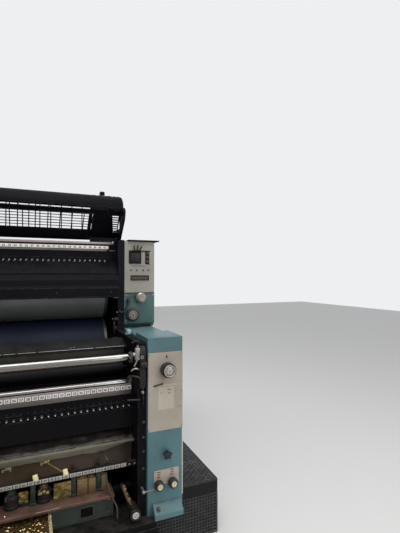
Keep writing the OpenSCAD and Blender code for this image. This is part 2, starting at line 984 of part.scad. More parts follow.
// Stepped knob on its shaft, drawn with its back face at the origin
module turned_knob(r, h, face_r) {
  rotate([90, 0, 0]) {
    cylinder(r = r * 0.6, h = 6, $fn = 64);
    translate([0, 0, 6]) cylinder(r = r, h = h - 10, $fn = 64);
    translate([0, 0, h - 4]) cylinder(r = face_r, h = 4, $fn = 64);
  }
  rotate([-90, 0, 0]) cylinder(r = knob_shaft_r, h = knob_depth - 1, $fn = 48);
}

module top_wheel() {
  color(black) place()
    translate([wheel_x, -panel_t, wheel_z]) turned_knob(wheel_r, wheel_out, wheel_r * 0.72);
}

// Outline of a knob with five lobes
module star_outline(r) {
  polygon([for (a = [0 : 6 : 354]) r * (0.84 + 0.16 * cos(5 * a)) * [cos(a), sin(a)]]);
}

module star_knob() {
  color(black) place() translate([wheel_x, 0, star_z]) {
    rotate([90, 0, 0]) {
      cylinder(r = 10, h = 15, $fn = 48);
      translate([0, 0, 14]) linear_extrude(24) rotate(18) star_outline(star_r);
    }
    rotate([-90, 0, 0]) cylinder(r = knob_shaft_r, h = knob_depth - 1, $fn = 48);
  }
}

module low_knob(x) {
  translate([x, 0, low_knob_z]) turned_knob(low_knob_r, low_knob_out, low_knob_r * 0.6);
}

module left_knob() {
  color(black) place() low_knob(low_knob_x1);
}

module right_knob() {
  color(black) place() low_knob(low_knob_x2);
}

module housing_knob(c, r) {
  translate([c[0], tower_front, c[1]]) turned_knob(r, up_knob_out, r * 0.66);
}

module upper_knob() {
  color(black) place() housing_knob(upper_knob_c, up_knob_r);
}

module bright_knob() {
  color("silver") place() housing_knob(bright_knob_c, bright_r);
}

// Bent lever on the front of the upper housing
module housing_lever() {
  color("#2f4a4c") place() translate([lever_c[0], tower_front, lever_c[1]]) {
    rotate([90, 0, 0]) cylinder(r = 13, h = 26, $fn = 48);
    rotate([-90, 0, 0]) cylinder(r = knob_shaft_r, h = knob_depth - 1, $fn = 48);
    translate([0, -18, 0]) rotate([0, lever_a, 0]) {
      cylinder(r = 5, h = lever_len, $fn = 32);
      translate([0, 0, lever_len]) sphere(r = 9, $fn = 48);
    }
  }
}

plinth();
operator_side_frame();
drive_side_frame();
operator_column();
drive_column();
rear_columns();
front_panels();
operator_gear_case();
drive_gear_case();
operator_upper_housing();
drive_upper_housing();
control_box();
drive_box();
box_shelves();
operator_step();
drive_step();
hood_cover();
hood_grille();
hood_ends();
upper_ink_duct();
lower_ink_duct();
ink_keys();
scale_strips();
upper_fountain_roller();
lower_fountain_roller();
water_roller();
upper_plate_cylinder();
upper_blanket_cylinder();
common_cylinder();
lower_blanket_cylinder();
lower_plate_cylinder();
inking_rollers();
upper_covers();
apron_plate();
lower_guard();
guard_bar();
register_bar();
brass_stops();
lay_blocks();
lay_uprights();
lay_drums();
front_ledge();
lower_panel();
tread_plate();
roller_brackets();
shaft_ends();
tower_back_panel();
tower_top_cover();
delivery_cover();
pile_board();
top_wheel();
star_knob();
left_knob();
right_knob();
upper_knob();
bright_knob();
housing_lever();
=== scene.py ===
import math
from collections import namedtuple

import bpy
import bmesh
from mathutils import Matrix, Vector, noise


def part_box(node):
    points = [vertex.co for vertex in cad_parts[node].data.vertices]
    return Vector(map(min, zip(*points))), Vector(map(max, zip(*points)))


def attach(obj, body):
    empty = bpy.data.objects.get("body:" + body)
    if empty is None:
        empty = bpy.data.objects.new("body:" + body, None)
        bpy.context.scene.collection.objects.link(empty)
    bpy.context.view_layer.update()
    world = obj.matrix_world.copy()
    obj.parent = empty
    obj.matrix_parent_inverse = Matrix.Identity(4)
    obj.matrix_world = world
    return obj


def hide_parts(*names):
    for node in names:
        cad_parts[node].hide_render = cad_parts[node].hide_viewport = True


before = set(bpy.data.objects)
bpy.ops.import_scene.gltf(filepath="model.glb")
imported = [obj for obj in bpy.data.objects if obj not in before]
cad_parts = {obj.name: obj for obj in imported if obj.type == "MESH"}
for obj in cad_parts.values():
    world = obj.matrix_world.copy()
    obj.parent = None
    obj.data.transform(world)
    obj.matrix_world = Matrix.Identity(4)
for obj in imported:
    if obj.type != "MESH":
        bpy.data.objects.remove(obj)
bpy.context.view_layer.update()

# camera first, matched to the photograph's viewing angle
cameraSet = {
    "place": (0.173, -3.4715, 1.6),
    "heading": 24.0,     # degrees to the right of +Y
    "pitch": 1.19,       # degrees above level
    "focalPixels": 385.0, "imageWidth": 400.0,
    "sensorWidth": 36.0, "farLimit": 60.0,
}


def addObject(name, data):
    thing = bpy.data.objects.new(name, data)
    bpy.context.scene.collection.objects.link(thing)
    return thing


def makeCamera():
    data = bpy.data.cameras.new("pressCamera")
    data.sensor_fit = "HORIZONTAL"
    data.sensor_width = cameraSet["sensorWidth"]
    data.lens = cameraSet["focalPixels"] * data.sensor_width / cameraSet["imageWidth"]
    data.clip_end = cameraSet["farLimit"]
    camera = addObject("pressCamera", data)
    camera.location = cameraSet["place"]
    camera.rotation_euler = (
        math.radians(90.0 + cameraSet["pitch"]), 0.0, math.radians(-cameraSet["heading"])
    )
    bpy.context.scene.camera = camera


makeCamera()
print("camera ready")

stageSet = {
    "floorSize": 30.0,
    "floorColor": (0.78, 0.775, 0.76, 1.0),
    "floorGloss": 0.6,
    "skyColor": (0.93, 0.94, 0.96, 1.0),
    "skyLight": 0.5,     # what lights the press
    "skyShown": 0.92,     # what the camera and the metal see
    "lamps": (            # name, place, watts, size, aims at
        ("topLamp", (0.4, -2.2, 4.6), 95.0, 2.6, (0.3, -0.6, 0.8)),
        ("frontLamp", (2.6, -5.2, 3.0), 75.0, 2.6, (0.4, -1.0, 1.0)),
        ("rearLamp", (-3.0, 4.2, 3.6), 90.0, 3.0, (0.0, 0.6, 0.8)),
    ),
}


# shader and geometry nodes are added and joined through this

class Graph:

    def __init__(self, tree):
        self.tree = tree

    def put(self, socket, value):  # a link from another socket, or a plain value
        if isinstance(value, bpy.types.NodeSocket):
            self.tree.links.new(value, socket)
        else:
            socket.default_value = value

    def fill(self, sockets, values):
        for key, value in values.items():
            self.put(sockets[key], value)

    def add(self, kind, inputs=None, **settings):
        node = self.tree.nodes.new(kind)
        for key, value in settings.items():
            setattr(node, key, value)
        self.fill(node.inputs, inputs or {})
        return node

    def math(self, operation, a, b=0.0, clamp=False):
        return self.add("ShaderNodeMath", {0: a, 1: b}, operation=operation,
                        use_clamp=clamp).outputs[0]

    def product(self, a, b, c):
        return self.math("MULTIPLY", self.math("MULTIPLY", a, b), c, True)

    def vector(self, operation, a, b):
        inputs = {0: a, "Scale" if operation == "SCALE" else 1: b}
        node = self.add("ShaderNodeVectorMath", inputs, operation=operation)
        return node.outputs["Value" if operation == "DOT_PRODUCT" else "Vector"]

    def upward(self, height):
        return self.add("ShaderNodeCombineXYZ", {"Z": height}).outputs[0]

    def blend(self, factor, a, b):
        inputs = {"Factor": factor, "A": a, "B": b}
        return self.add("ShaderNodeMix", inputs, data_type="RGBA").outputs["Result"]

    def span(self, value, low, high):  # 0 at the low end, 1 at the high end
        inputs = {"Value": value, "From Min": low, "From Max": high}
        return self.add("ShaderNodeMapRange", inputs).outputs[0]

    def noise(self, vector, scale, detail, rough):
        inputs = {"Vector": vector, "Scale": scale, "Detail": detail, "Roughness": rough}
        return self.add("ShaderNodeTexNoise", inputs).outputs["Fac"]


def makeFloor():
    half = stageSet["floorSize"] / 2
    mesh = bpy.data.meshes.new("floor")
    corners = [(-half, -half, 0), (half, -half, 0), (half, half, 0), (-half, half, 0)]
    mesh.from_pydata(corners, [], [(0, 1, 2, 3)])
    material = bpy.data.materials.new("floorPale")
    material.use_nodes = True
    shader = material.node_tree.nodes["Principled BSDF"]
    shader.inputs["Base Color"].default_value = stageSet["floorColor"]
    shader.inputs["Roughness"].default_value = stageSet["floorGloss"]
    mesh.materials.append(material)
    floor = addObject("floor", mesh)


def makeSky():
    world = bpy.data.worlds.new("studio")
    world.use_nodes = True
    graph = Graph(world.node_tree)
    light = world.node_tree.nodes["Background"]
    shown = graph.add("ShaderNodeBackground")
    for node, strength in ((light, "skyLight"), (shown, "skyShown")):
        graph.fill(node.inputs, {"Color": stageSet["skyColor"], "Strength": stageSet[strength]})
    path = graph.add("ShaderNodeLightPath").outputs
    either = graph.math("MAXIMUM", path["Is Camera Ray"], path["Is Glossy Ray"])
    mix = graph.add("ShaderNodeMixShader", {0: either, 1: light.outputs[0], 2: shown.outputs[0]})
    graph.put(world.node_tree.nodes["World Output"].inputs["Surface"], mix.outputs[0])
    bpy.context.scene.world = world


def makeLamps():
    for name, place, power, size, aim in stageSet["lamps"]:
        lamp = bpy.data.lights.new(name, "AREA")
        lamp.energy = power
        lamp.size = size
        thing = addObject(name, lamp)
        thing.location = place
        thing.rotation_euler = (Vector(place) - Vector(aim)).to_track_quat("Z", "Y").to_euler()


makeFloor()
makeSky()
makeLamps()
bpy.context.scene.view_settings.view_transform = "Standard"
print("stage ready")


# shader groups for effects that several finishes share

def srgb(text):
    def linear(v):
        return v / 12.92 if v <= 0.04045 else ((v + 0.055) / 1.055) ** 2.4
    return tuple(linear(int(text[i:i + 2], 16) / 255) for i in (1, 3, 5)) + (1.0,)


def newGroup(name, inputs, outputs):
    tree = bpy.data.node_groups.new(name, "ShaderNodeTree")
    for label, value in inputs.items():
        kind = "NodeSocketVector" if isinstance(value, tuple) else "NodeSocketFloat"
        tree.interface.new_socket(label, in_out="INPUT", socket_type=kind).default_value = value
    for label in outputs:
        tree.interface.new_socket(label, in_out="OUTPUT", socket_type="NodeSocketFloat")
    graph = Graph(tree)
    given = graph.add("NodeGroupInput").outputs
    place = graph.add("ShaderNodeTexCoord").outputs["Object"]
    return graph, given, place, graph.add("NodeGroupOutput").inputs


def makeEdgeWear():  # bare metal along edges, broken up by noise
    inputs = {"Width": 0.004, "Amount": 0.5, "Scale": 22.0}
    graph, given, place, result = newGroup("edgeWear", inputs, ("Mask",))
    soft = graph.add("ShaderNodeBevel", {"Radius": given["Width"]}, samples=4).outputs[0]
    flat = graph.add("ShaderNodeNewGeometry").outputs["Normal"]
    turned = graph.math("SUBTRACT", 1.0, graph.vector("DOT_PRODUCT", soft, flat))
    edge = graph.math("MULTIPLY", turned, 9.0, True)
    kept = graph.span(graph.noise(place, given["Scale"], 5.0, 0.65), 0.42, 0.62)
    graph.put(result["Mask"], graph.product(edge, kept, given["Amount"]))
    return graph.tree


def makeGrime():  # broad smears and fine spots
    inputs = {"Scale": 3.0, "Amount": 0.5, "Stretch": (1.0, 1.0, 1.0)}
    graph, given, place, result = newGroup("grime", inputs, ("Smear", "Spots"))
    drawn = graph.vector("MULTIPLY", place, given["Stretch"])
    fine = graph.math("MULTIPLY", given["Scale"], 24.0)
    for label, where, scale, detail, low, high in (
        ("Smear", drawn, given["Scale"], 6.0, 0.4, 0.7), ("Spots", place, fine, 4.0, 0.58, 0.72),
    ):
        spots = graph.span(graph.noise(where, scale, detail, 0.6), low, high)
        graph.put(result[label], graph.math("MULTIPLY", spots, given["Amount"], True))
    return graph.tree


def makeTopDust():  # dust and paper lint on what faces up
    graph, given, place, result = newGroup("topDust", {"Amount": 0.4}, ("Mask",))
    normal = graph.add("ShaderNodeNewGeometry").outputs["Normal"]
    up = graph.span(graph.add("ShaderNodeSeparateXYZ", {0: normal}).outputs["Z"], 0.55, 0.95)
    lint = graph.span(graph.noise(place, 11.0, 7.0, 0.7), 0.38, 0.7)
    graph.put(result["Mask"], graph.product(up, lint, given["Amount"]))
    return graph.tree


def makeGrain():  # fine height: hammered paint, cast skin or brushed lines
    inputs = {"Scale": 300.0, "Stretch": (1.0, 1.0, 1.0)}
    graph, given, place, result = newGroup("grain", inputs, ("Height",))
    drawn = graph.vector("MULTIPLY", place, given["Stretch"])
    graph.put(result["Height"], graph.noise(drawn, given["Scale"], 3.0, 0.55))
    return graph.tree


groups = {
    "edgeWear": makeEdgeWear(), "grime": makeGrime(), "topDust": makeTopDust(),
    "grain": makeGrain(),
}


def useGroup(graph, name, **values):
    return graph.add("ShaderNodeGroup", values, node_tree=groups[name]).outputs


Look = namedtuple("Look", "color dirt worn rough wear dust bump grain shine metal smear stretch",
                  defaults=(0.35, 0.0, 0.75, (1.0, 1.0, 1.0)))
# slot in the record: its finishes, each with colour, dirt, worn edge, roughness, wear, dust,
# bump, grain, and what differs from the defaults
finishSet = {
    "black_paint": {
        "blackPaint": Look("#0d0c11", "#171618", "#6d6a65", 0.5, 0.45, 0.06, 0.05, 260.0,
                           shine=0.04),
        "darkPaint": Look("#0e0e11", "#181613", "#5e5b55", 0.6, 0.3, 0.12, 0.1, 180.0, shine=0.05),
        "deckMetal": Look("#232323", "#171614", "#a5a39f", 0.42, 1.0, 0.35, 0.1, 200.0, metal=0.3),
        "glassDark": Look("#17151c", "#211f22", "#4b4844", 0.3, 0.1, 0.1, 0.01, 100.0, shine=0.12),
        "counterBrown": Look("#2e2621", "#211a16", "#6d655b", 0.25, 0.1, 0.0, 0.02, 260.0),
        "sootGrey": Look("#3b3734", "#262321", "#6e6a64", 0.5, 0.5, 0.1, 0.08, 180.0, shine=0.1),
        # near black for the handle recesses: painted shade
        "recessShadeBlack": Look("#0c0c0d", "#151412", "#2b2926", 0.6, 0.1, 0.1, 0.05, 200.0, shine=0.1),
        "apronGrey": Look("#1d1e1e", "#131312", "#6a6862", 0.5, 0.5, 0.06, 0.1, 200.0, shine=0.1),
        "stepBlack": Look("#14161a", "#1c1b19", "#5f5c57", 0.5, 0.5, 0.12, 0.08, 220.0, shine=0.15),
        "latticePaint": Look("#3b3d40", "#2c2b2a", "#7c7972", 0.5, 0.5, 0.25, 0.08, 220.0),
    },
    "teal_paint": {
        "tealPaint": Look("#507277", "#3e5759", "#8fa5a4", 0.4, 0.5, 0.3, 0.12, 210.0),
        "leverTeal": Look("#10211f", "#0c1716", "#3d5653", 0.42, 0.4, 0.05, 0.1, 210.0),
        # darker copy of the teal paint for the upper housings: painted shade under the shelves
        "tealPaintedShade": Look("#44615e", "#324a48", "#88a09e", 0.42, 0.5, 0.15, 0.12, 210.0),
        "paleTeal": Look("#8fb4b4", "#5f8386", "#c3d2cf", 0.45, 0.5, 0.2, 0.1, 210.0),
    },
    "beige_paint": {
        "beigePaint": Look("#a49b90", "#8b8276", "#7e776a", 0.42, 0.3, 0.15, 0.04, 260.0),
        "creamPaint": Look("#cdc5b4", "#a99f8c", "#8d8474", 0.45, 0.3, 0.1, 0.03, 300.0),
        "boxPaint": Look("#8f8d83", "#7d7a6f", "#66625a", 0.45, 0.35, 0.1, 0.05, 260.0),
    },
    "brown_paint": {
        "brownPaint": Look("#6b4738", "#3d2a21", "#a58577", 0.5, 0.8, 0.35, 0.12, 160.0),
    },
    "green_grey_paint": {
        "greenGreyPaint": Look("#424b45", "#2c302b", "#7a7a6c", 0.52, 0.6, 0.3, 0.12, 170.0),
        "darkGreen": Look("#22332f", "#161e1b", "#5d655d", 0.5, 0.6, 0.2, 0.1, 170.0),
        "oilySheet": Look("#46392c", "#2c231b", "#8d8672", 0.4, 0.7, 0.7, 0.2, 90.0),
        "lipPaint": Look("#5c584b", "#37332a", "#8f8b7b", 0.5, 0.6, 0.25, 0.3, 90.0),
        "greasySheet": Look("#1f1c16", "#0c0a08", "#8f8b7e", 0.35, 1.6, 0.15, 0.6, 70.0),
        "dullRod": Look("#4b473a", "#2b281f", "#7f7a68", 0.5, 0.5, 0.1, 0.1, 200.0),
    },
    "cast_metal": {
        "castMetal": Look("#5c5853", "#2e2a26", "#a8a29a", 0.45, 0.6, 0.2, 0.2, 240.0, metal=0.75),
        "rustyBrass": Look("#7d6240", "#3a291b", "#cbb083", 0.45, 0.7, 0.1, 0.25, 200.0, metal=0.6),
        "tanPaint": Look("#7d6646", "#4a3926", "#b39c75", 0.5, 0.6, 0.2, 0.2, 200.0, metal=0.3),
        "potBrown": Look("#2c2425", "#1b1616", "#5d5450", 0.55, 0.4, 0.1, 0.15, 200.0, shine=0.2,
                         metal=0.1),
        # near black with little shine, for the lower plate cylinder: painted shade between the
        # rollers
        "cylinderShadeBlack": Look("#0e0d0d", "#171412", "#2c2926", 0.6, 0.2, 0.05, 0.05, 240.0, shine=0.08),
        "oilyBlack": Look("#141313", "#211b16", "#6f6a62", 0.4, 0.6, 0.1, 0.15, 240.0, shine=0.25,
                          metal=0.1),
        "oilySteel": Look("#4a4845", "#1f1c19", "#8f8a82", 0.42, 0.5, 0.0, 0.05, 200.0, metal=0.7),
    },
    "bright_steel": {
        "brightSteel": Look("#c9c7c3", "#8b8780", "#e6e4df", 0.2, 0.2, 0.05, 0.03, 40.0,
                            metal=1.0, stretch=(0.6, 30.0, 30.0)),
        "satinSteel": Look("#97928c", "#5d5750", "#cfcbc4", 0.34, 0.4, 0.1, 0.05, 60.0,
                           metal=0.95, stretch=(0.5, 20.0, 20.0)),
        "dialSilver": Look("#b9b5ab", "#7d786d", "#dedad0", 0.32, 0.3, 0.05, 0.06, 400.0,
                           metal=0.7),
        # grey for rubbed bare edges; also the painted highlight on the ledge's edge and the painted
        # shade of the dim hook
        "wornGreyAndPaintedLight": Look("#9c9890", "#5d574f", "#cfcabf", 0.5, 0.5, 0.0, 0.2, 300.0, metal=0.3),
        "greySteel": Look("#8d8b8c", "#4c4845", "#c4c1bb", 0.4, 0.3, 0.0, 0.06, 300.0, metal=0.6),
        "chrome": Look("#85837f", "#6a6865", "#d6d4cf", 0.14, 0.2, 0.0, 0.0, 400.0, metal=1.0,
                       smear=0.25, stretch=(0.02, 1.0, 1.0)),
        "bandGrey": Look("#8b8180", "#5d5656", "#b3aca8", 0.42, 0.3, 0.0, 0.04, 160.0, metal=0.4),
        "bandDark": Look("#5a5653", "#3a3633", "#85807a", 0.42, 0.4, 0.0, 0.05, 120.0, metal=0.4),
        "brightKnurl": Look("#a9a8a4", "#6b6862", "#dddbd5", 0.3, 0.4, 0.05, 0.1, 500.0, metal=0.8),
        "dialGrey": Look("#8f8b84", "#5b5750", "#bab6ad", 0.36, 0.3, 0.05, 0.06, 400.0, metal=0.6),
    },
    "plate_metal": {
        "plateMetal": Look("#6f7571", "#4c524f", "#a9aca8", 0.42, 0.2, 0.0, 0.02, 60.0,
                           metal=0.55, stretch=(12.0, 0.7, 0.7)),
    },
    "blanket_rubber": {
        "blanketRubber": Look("#0f1626", "#0a0e16", "#3a4458", 0.55, 0.1, 0.0, 0.05, 500.0,
                              shine=0.15),
    },
    "ink_rubber": {
        "inkRubber": Look("#161415", "#0e0c0c", "#3b3634", 0.5, 0.1, 0.0, 0.02, 320.0, shine=0.12),
    },
    "scale_plastic": {
        "scaleWhite": Look("#dedad4", "#b1aa9f", "#8b857b", 0.35, 0.3, 0.0, 0.02, 300.0),
        "markBlack": Look("#1c1a19", "#2f2b28", "#6b655d", 0.5, 0.2, 0.0, 0.02, 300.0),
        "markRed": Look("#7a3128", "#572019", "#8b857b", 0.5, 0.2, 0.0, 0.02, 300.0),
        "palePaper": Look("#b7afa1", "#9c9382", "#8d8474", 0.55, 0.2, 0.0, 0.03, 260.0),
        "greyInk": Look("#6d6a66", "#4b4845", "#8d8474", 0.5, 0.1, 0.0, 0.02, 260.0),
        "dimInk": Look("#403d3a", "#2f2c2a", "#6a655e", 0.5, 0.1, 0.0, 0.02, 260.0),
        "dialWhite": Look("#c9c7c4", "#8a8680", "#8d8474", 0.35, 0.3, 0.0, 0.03, 260.0, metal=0.3),
        "greyScale": Look("#a9a49e", "#7d776f", "#5d574f", 0.45, 0.2, 0.0, 0.02, 300.0),
    },
    "knob_plastic": {
        "knobBlack": Look("#151517", "#2a2723", "#4b4844", 0.38, 0.5, 0.15, 0.05, 300.0),
        "knobCream": Look("#cfc5a8", "#978b6c", "#7e745c", 0.35, 0.3, 0.0, 0.02, 300.0),
        "starBlack": Look("#121a22", "#1d2226", "#40474c", 0.42, 0.4, 0.1, 0.05, 300.0),
    },
    "board_wood": {
        "boardWood": Look("#a48a63", "#6f583b", "#c7b28d", 0.7, 0.4, 0.2, 0.3, 24.0,
                          stretch=(18.0, 1.0, 18.0)),
    },
    "brass": {
        "oldBrass": Look("#94804c", "#3f3620", "#cfc48c", 0.3, 0.7, 0.1, 0.3, 150.0, metal=0.7),
        # near-white brass for the clips and the tread's rim: painted highlight
        "glintBrass": Look("#efe3b4", "#a8925a", "#fffbe4", 0.3, 0.6, 0.0, 0.1, 220.0, metal=0.5),
        # light brass for the lit hook and the glint blocks on the pot: painted highlight
        "highlightBrass": Look("#b8a468", "#5a4a2a", "#ede0ae", 0.3, 0.6, 0.05, 0.15, 220.0, metal=0.8),
    },
    "tread_metal": {
        # its near-white worn colour on the creases is a painted highlight as well as rubbed edges
        "goldTreadPaintedGlint": Look("#d2b272", "#5f4830", "#fff4d6", 0.15, 1.0, 0.0, 0.2, 60.0, metal=0.95),
    },
}
effectSet = {   # what all finishes share
    "grimeScale": 2.6, "spotShare": 0.45, "wearWidth": 0.0035, "wearScale": 26.0,
    "dustColor": "#8a857c", "smearGloss": 0.16, "grainGloss": 0.12, "bumpDepth": 0.002,
}


def makeFinish(name, look):
    material = bpy.data.materials.new(name)
    material.use_nodes = True
    graph = Graph(material.node_tree)
    s = effectSet
    color, dirtColor, wornColor, dustColor = (
        srgb(text) for text in (look.color, look.dirt, look.worn, s["dustColor"])
    )
    dirt = useGroup(graph, "grime", Scale=s["grimeScale"], Amount=look.smear)
    worn = useGroup(graph, "edgeWear", Width=s["wearWidth"], Amount=look.wear, Scale=s["wearScale"])
    grain = useGroup(graph, "grain", Scale=look.grain, Stretch=look.stretch)["Height"]
    color = graph.blend(dirt["Smear"], color, dirtColor)
    color = graph.blend(graph.math("MULTIPLY", dirt["Spots"], s["spotShare"]), color, dirtColor)
    color = graph.blend(worn["Mask"], color, wornColor)
    if look.dust > 0:
        color = graph.blend(useGroup(graph, "topDust", Amount=look.dust)["Mask"], color, dustColor)
    rough = graph.math("ADD", look.rough, graph.math("MULTIPLY", dirt["Smear"], s["smearGloss"]))
    uneven = graph.math("MULTIPLY", graph.math("SUBTRACT", grain, 0.5), s["grainGloss"])
    bump = graph.add("ShaderNodeBump", {
        "Strength": look.bump, "Distance": s["bumpDepth"], "Height": grain,
    })
    graph.fill(material.node_tree.nodes["Principled BSDF"].inputs, {
        "Base Color": color, "Roughness": graph.math("ADD", rough, uneven), "Metallic": look.metal,
        "Specular IOR Level": look.shine, "Normal": bump.outputs[0],
    })
    return material


finishes = {
    name: makeFinish(name, look) for looks in finishSet.values() for name, look in looks.items()
}
print("finishes ready:", len(finishes))


# shapes: each helper adds to a bmesh, and makePiece turns it into a piece

def facing(direction, where=(0, 0, 0)):  # local Z points in the direction, local Y up
    z = Vector(direction).normalized()
    up = Vector((0, 0, 1)) if abs(z.z) < 0.99 else Vector((0, 1, 0))
    x = up.cross(z).normalized()
    turn = Matrix((x, z.cross(x), z)).transposed().to_4x4()
    return Matrix.Translation(Vector(where)) @ turn


def toFront(x, y, z):
    return facing((0, -1, 0), (x, y, z))


def toRight(x, y, z):
    return facing((1, 0, 0), (x, y, z))


def toLeft(x, y, z):
    return facing((-1, 0, 0), (x, y, z))


def toSide(x):  # local X to +Y, local Y to +Z, local Z to +X
    return Matrix(((0, 0, 1, x), (1, 0, 0, 0), (0, 1, 0, 0), (0, 0, 0, 1)))


def toBack(y):  # local X to -X, local Y to +Z, local Z to +Y
    return Matrix(((-1, 0, 0, 0), (0, 0, 1, y), (0, 1, 0, 0), (0, 0, 0, 1)))


def at(x, y, z):
    return Matrix.Translation((x, y, z))


def merge(bm, part, matrix=None):
    if matrix is not None:
        bmesh.ops.transform(part, matrix=matrix, verts=part.verts)
    mesh = bpy.data.meshes.new("part")
    part.to_mesh(mesh)
    part.free()
    bm.from_mesh(mesh)
    bpy.data.meshes.remove(mesh)


def mergeMesh(bm, mesh, matrix=None):
    part = bmesh.new()
    part.from_mesh(mesh)
    bpy.data.meshes.remove(mesh)
    merge(bm, part, matrix)


def bevelSharp(part, width, segments=2, angle=28.0):
    edges = [
        e for e in part.edges
        if len(e.link_faces) == 2 and e.calc_face_angle(0.0) > math.radians(angle)
    ]
    if edges and width > 0:
        bmesh.ops.bevel(part, geom=edges, offset=width, offset_type="OFFSET", segments=segments,
                        profile=0.5, affect="EDGES", clamp_overlap=True)


def addBlock(bm, low, high, bevel=0.0, segments=2, matrix=None):
    part = bmesh.new()
    bmesh.ops.create_cube(part, size=1.0)
    low, high = Vector(low), Vector(high)
    size = Matrix.Diagonal((*(high - low), 1.0))
    bmesh.ops.transform(part, matrix=Matrix.Translation((low + high) / 2) @ size, verts=part.verts)
    bevelSharp(part, bevel, segments)
    merge(bm, part, matrix)


def blockPart(*block):  # one block, for the trees that copy it
    part = bmesh.new()
    addBlock(part, *block)
    return part


def frontPlate(bm, x0, x1, z0, z1, y, thick, bevel=0.0):  # stands proud of a face that looks to -Y
    addBlock(bm, (x0, y - thick, z0), (x1, y, z1), bevel)


def joinRings(part, rings, closed=False):  # skin over rings of vertices, a lone vertex is a tip
    if closed:
        rings = rings + rings[:1]
    for near, far in zip(rings, rings[1:]):
        count = max(len(near), len(far))
        for i in range(count if count > 1 else 0):
            j = (i + 1) % count
            if len(near) == 1:
                part.faces.new((near[0], far[j], far[i]))
            elif len(far) == 1:
                part.faces.new((near[i], near[j], far[0]))
            else:
                part.faces.new((near[i], near[j], far[j], far[i]))
    for ring in () if closed else (rings[0][::-1], rings[-1]):
        if len(ring) > 1:
            part.faces.new(ring)
    bmesh.ops.recalc_face_normals(part, faces=part.faces)


def circle(steps):
    return [math.tau * i / steps for i in range(steps)]


def addTurned(bm, profile, matrix=None, steps=48, closed=False):
    # profile: (radius, distance along the local Z axis), from one end to the other;
    # a closed one is the cross-section of a ring
    part = bmesh.new()
    rings = []
    for radius, along in profile:
        angles = circle(steps) if radius >= 1e-6 else (0.0,)
        rings.append([
            part.verts.new((radius * math.cos(a), radius * math.sin(a), along)) for a in angles
        ])
    joinRings(part, rings, closed)
    merge(bm, part, matrix)


def addTube(bm, points, radius, sides=10):
    part = bmesh.new()
    points = [Vector(p) for p in points]
    rings = []
    side = None
    for i, point in enumerate(points):
        ahead = points[min(i + 1, len(points) - 1)] - points[max(i - 1, 0)]
        ahead.normalize()
        if side is None:
            side = ahead.orthogonal().normalized()
        side = (side - ahead * side.dot(ahead)).normalized()
        other = ahead.cross(side)
        rings.append([
            part.verts.new(point + radius * (math.cos(a) * side + math.sin(a) * other))
            for a in circle(sides)
        ])
    joinRings(part, rings)
    merge(bm, part)


def bend(points, steps=5):  # smooth line through the points
    points = [Vector(p) for p in points]
    padded = [points[0]] + points + [points[-1]]
    line = []
    for i in range(1, len(padded) - 2):
        p0, p1, p2, p3 = padded[i - 1:i + 3]
        for k in range(steps):
            t = k / steps
            line.append(0.5 * (2 * p1 + (p2 - p0) * t + (2 * p0 - 5 * p1 + 4 * p2 - p3) * t * t
                               + (3 * p1 - p0 - 3 * p2 + p3) * t ** 3))
    return line + [points[-1]]


def addPlate(bm, outline, depth, matrix=None, bevel=0.0, segments=2):
    # outline in the local XY plane, pushed out along local Z
    part = bmesh.new()
    joinRings(part, [[part.verts.new((x, y, z)) for x, y in outline] for z in (0, depth)])
    bevelSharp(part, bevel, segments)
    merge(bm, part, matrix)


def roundedOutline(x0, x1, y0, y1, radius, steps=4):
    points = []
    for cx, cy, start in (
        (x1 - radius, y0 + radius, -90), (x1 - radius, y1 - radius, 0),
        (x0 + radius, y1 - radius, 90), (x0 + radius, y0 + radius, 180),
    ):
        for i in range(steps + 1):
            a = math.radians(start + 90 * i / steps)
            points.append((cx + radius * math.cos(a), cy + radius * math.sin(a)))
    return points


def mirrored(bm):  # adds the same shape on the other side of the press
    part = bm.copy()
    bmesh.ops.scale(part, vec=(-1, 1, 1), verts=part.verts)
    bmesh.ops.reverse_faces(part, faces=part.faces)
    merge(bm, part)


def addText(bm, words, size, matrix):  # plain numbers, standing 0.3 mm proud
    curve = bpy.data.curves.new("digits", "FONT")
    curve.body = words
    curve.size = size
    curve.extrude = 0.00015
    curve.offset = size * 0.03
    curve.resolution_u = 2
    thing = addObject("digits", curve)
    view = bpy.context.evaluated_depsgraph_get()
    mesh = bpy.data.meshes.new_from_object(thing.evaluated_get(view))
    bpy.data.objects.remove(thing)
    bpy.data.curves.remove(curve)
    mergeMesh(bm, mesh, matrix)


def makePiece(name, bm, finish, body="machine", stands=(), mirror=False, smooth=24.0):
    if mirror:
        mirrored(bm)
    mesh = bpy.data.meshes.new(name)
    bm.to_mesh(mesh)
    bm.free()
    mesh.shade_smooth()
    mesh.set_sharp_from_angle(angle=math.radians(smooth))
    thing = addObject(name, mesh)
    mesh.materials.clear()
    mesh.materials.append(finishes[finish])
    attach(thing, body)
    if stands:
        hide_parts(*stands)


def makeBlocks(name, finish, rows, mirror=True, body="machine", stands=()):
    bm = bmesh.new()   # rows of low corner, high corner, bevel, segments
    for row in rows:
        addBlock(bm, *row)
    makePiece(name, bm, finish, body, stands, mirror)


def makePlates(name, finish, y, rows, mirror=False):  # rows of x0, x1, z0, z1, thickness, bevel
    bm = bmesh.new()
    for x0, x1, z0, z1, *depth in rows:
        frontPlate(bm, x0, x1, z0, z1, y, *depth)
    makePiece(name, bm, finish, mirror=mirror)


def cadCopy(node):  # a merged copy of a CAD node's mesh
    part = bmesh.new()
    part.from_mesh(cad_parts[node].data)
    bmesh.ops.remove_doubles(part, verts=part.verts, dist=1e-5)
    bmesh.ops.dissolve_limit(part, angle_limit=math.radians(0.4), verts=part.verts,
                             edges=part.edges)
    return part


def soften(rows, body="machine"):  # rows of node, piece name, finish, bevel
    for node, name, finish, bevel in rows:
        part = cadCopy(node)
        bevelSharp(part, bevel)
        makePiece(name, part, finish, body, (node,))


def low(node):
    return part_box(node)[0]


def high(node):
    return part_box(node)[1]


# Geometry Nodes trees: copies in rows, in a ring, on chosen spots, and a crumpled sheet

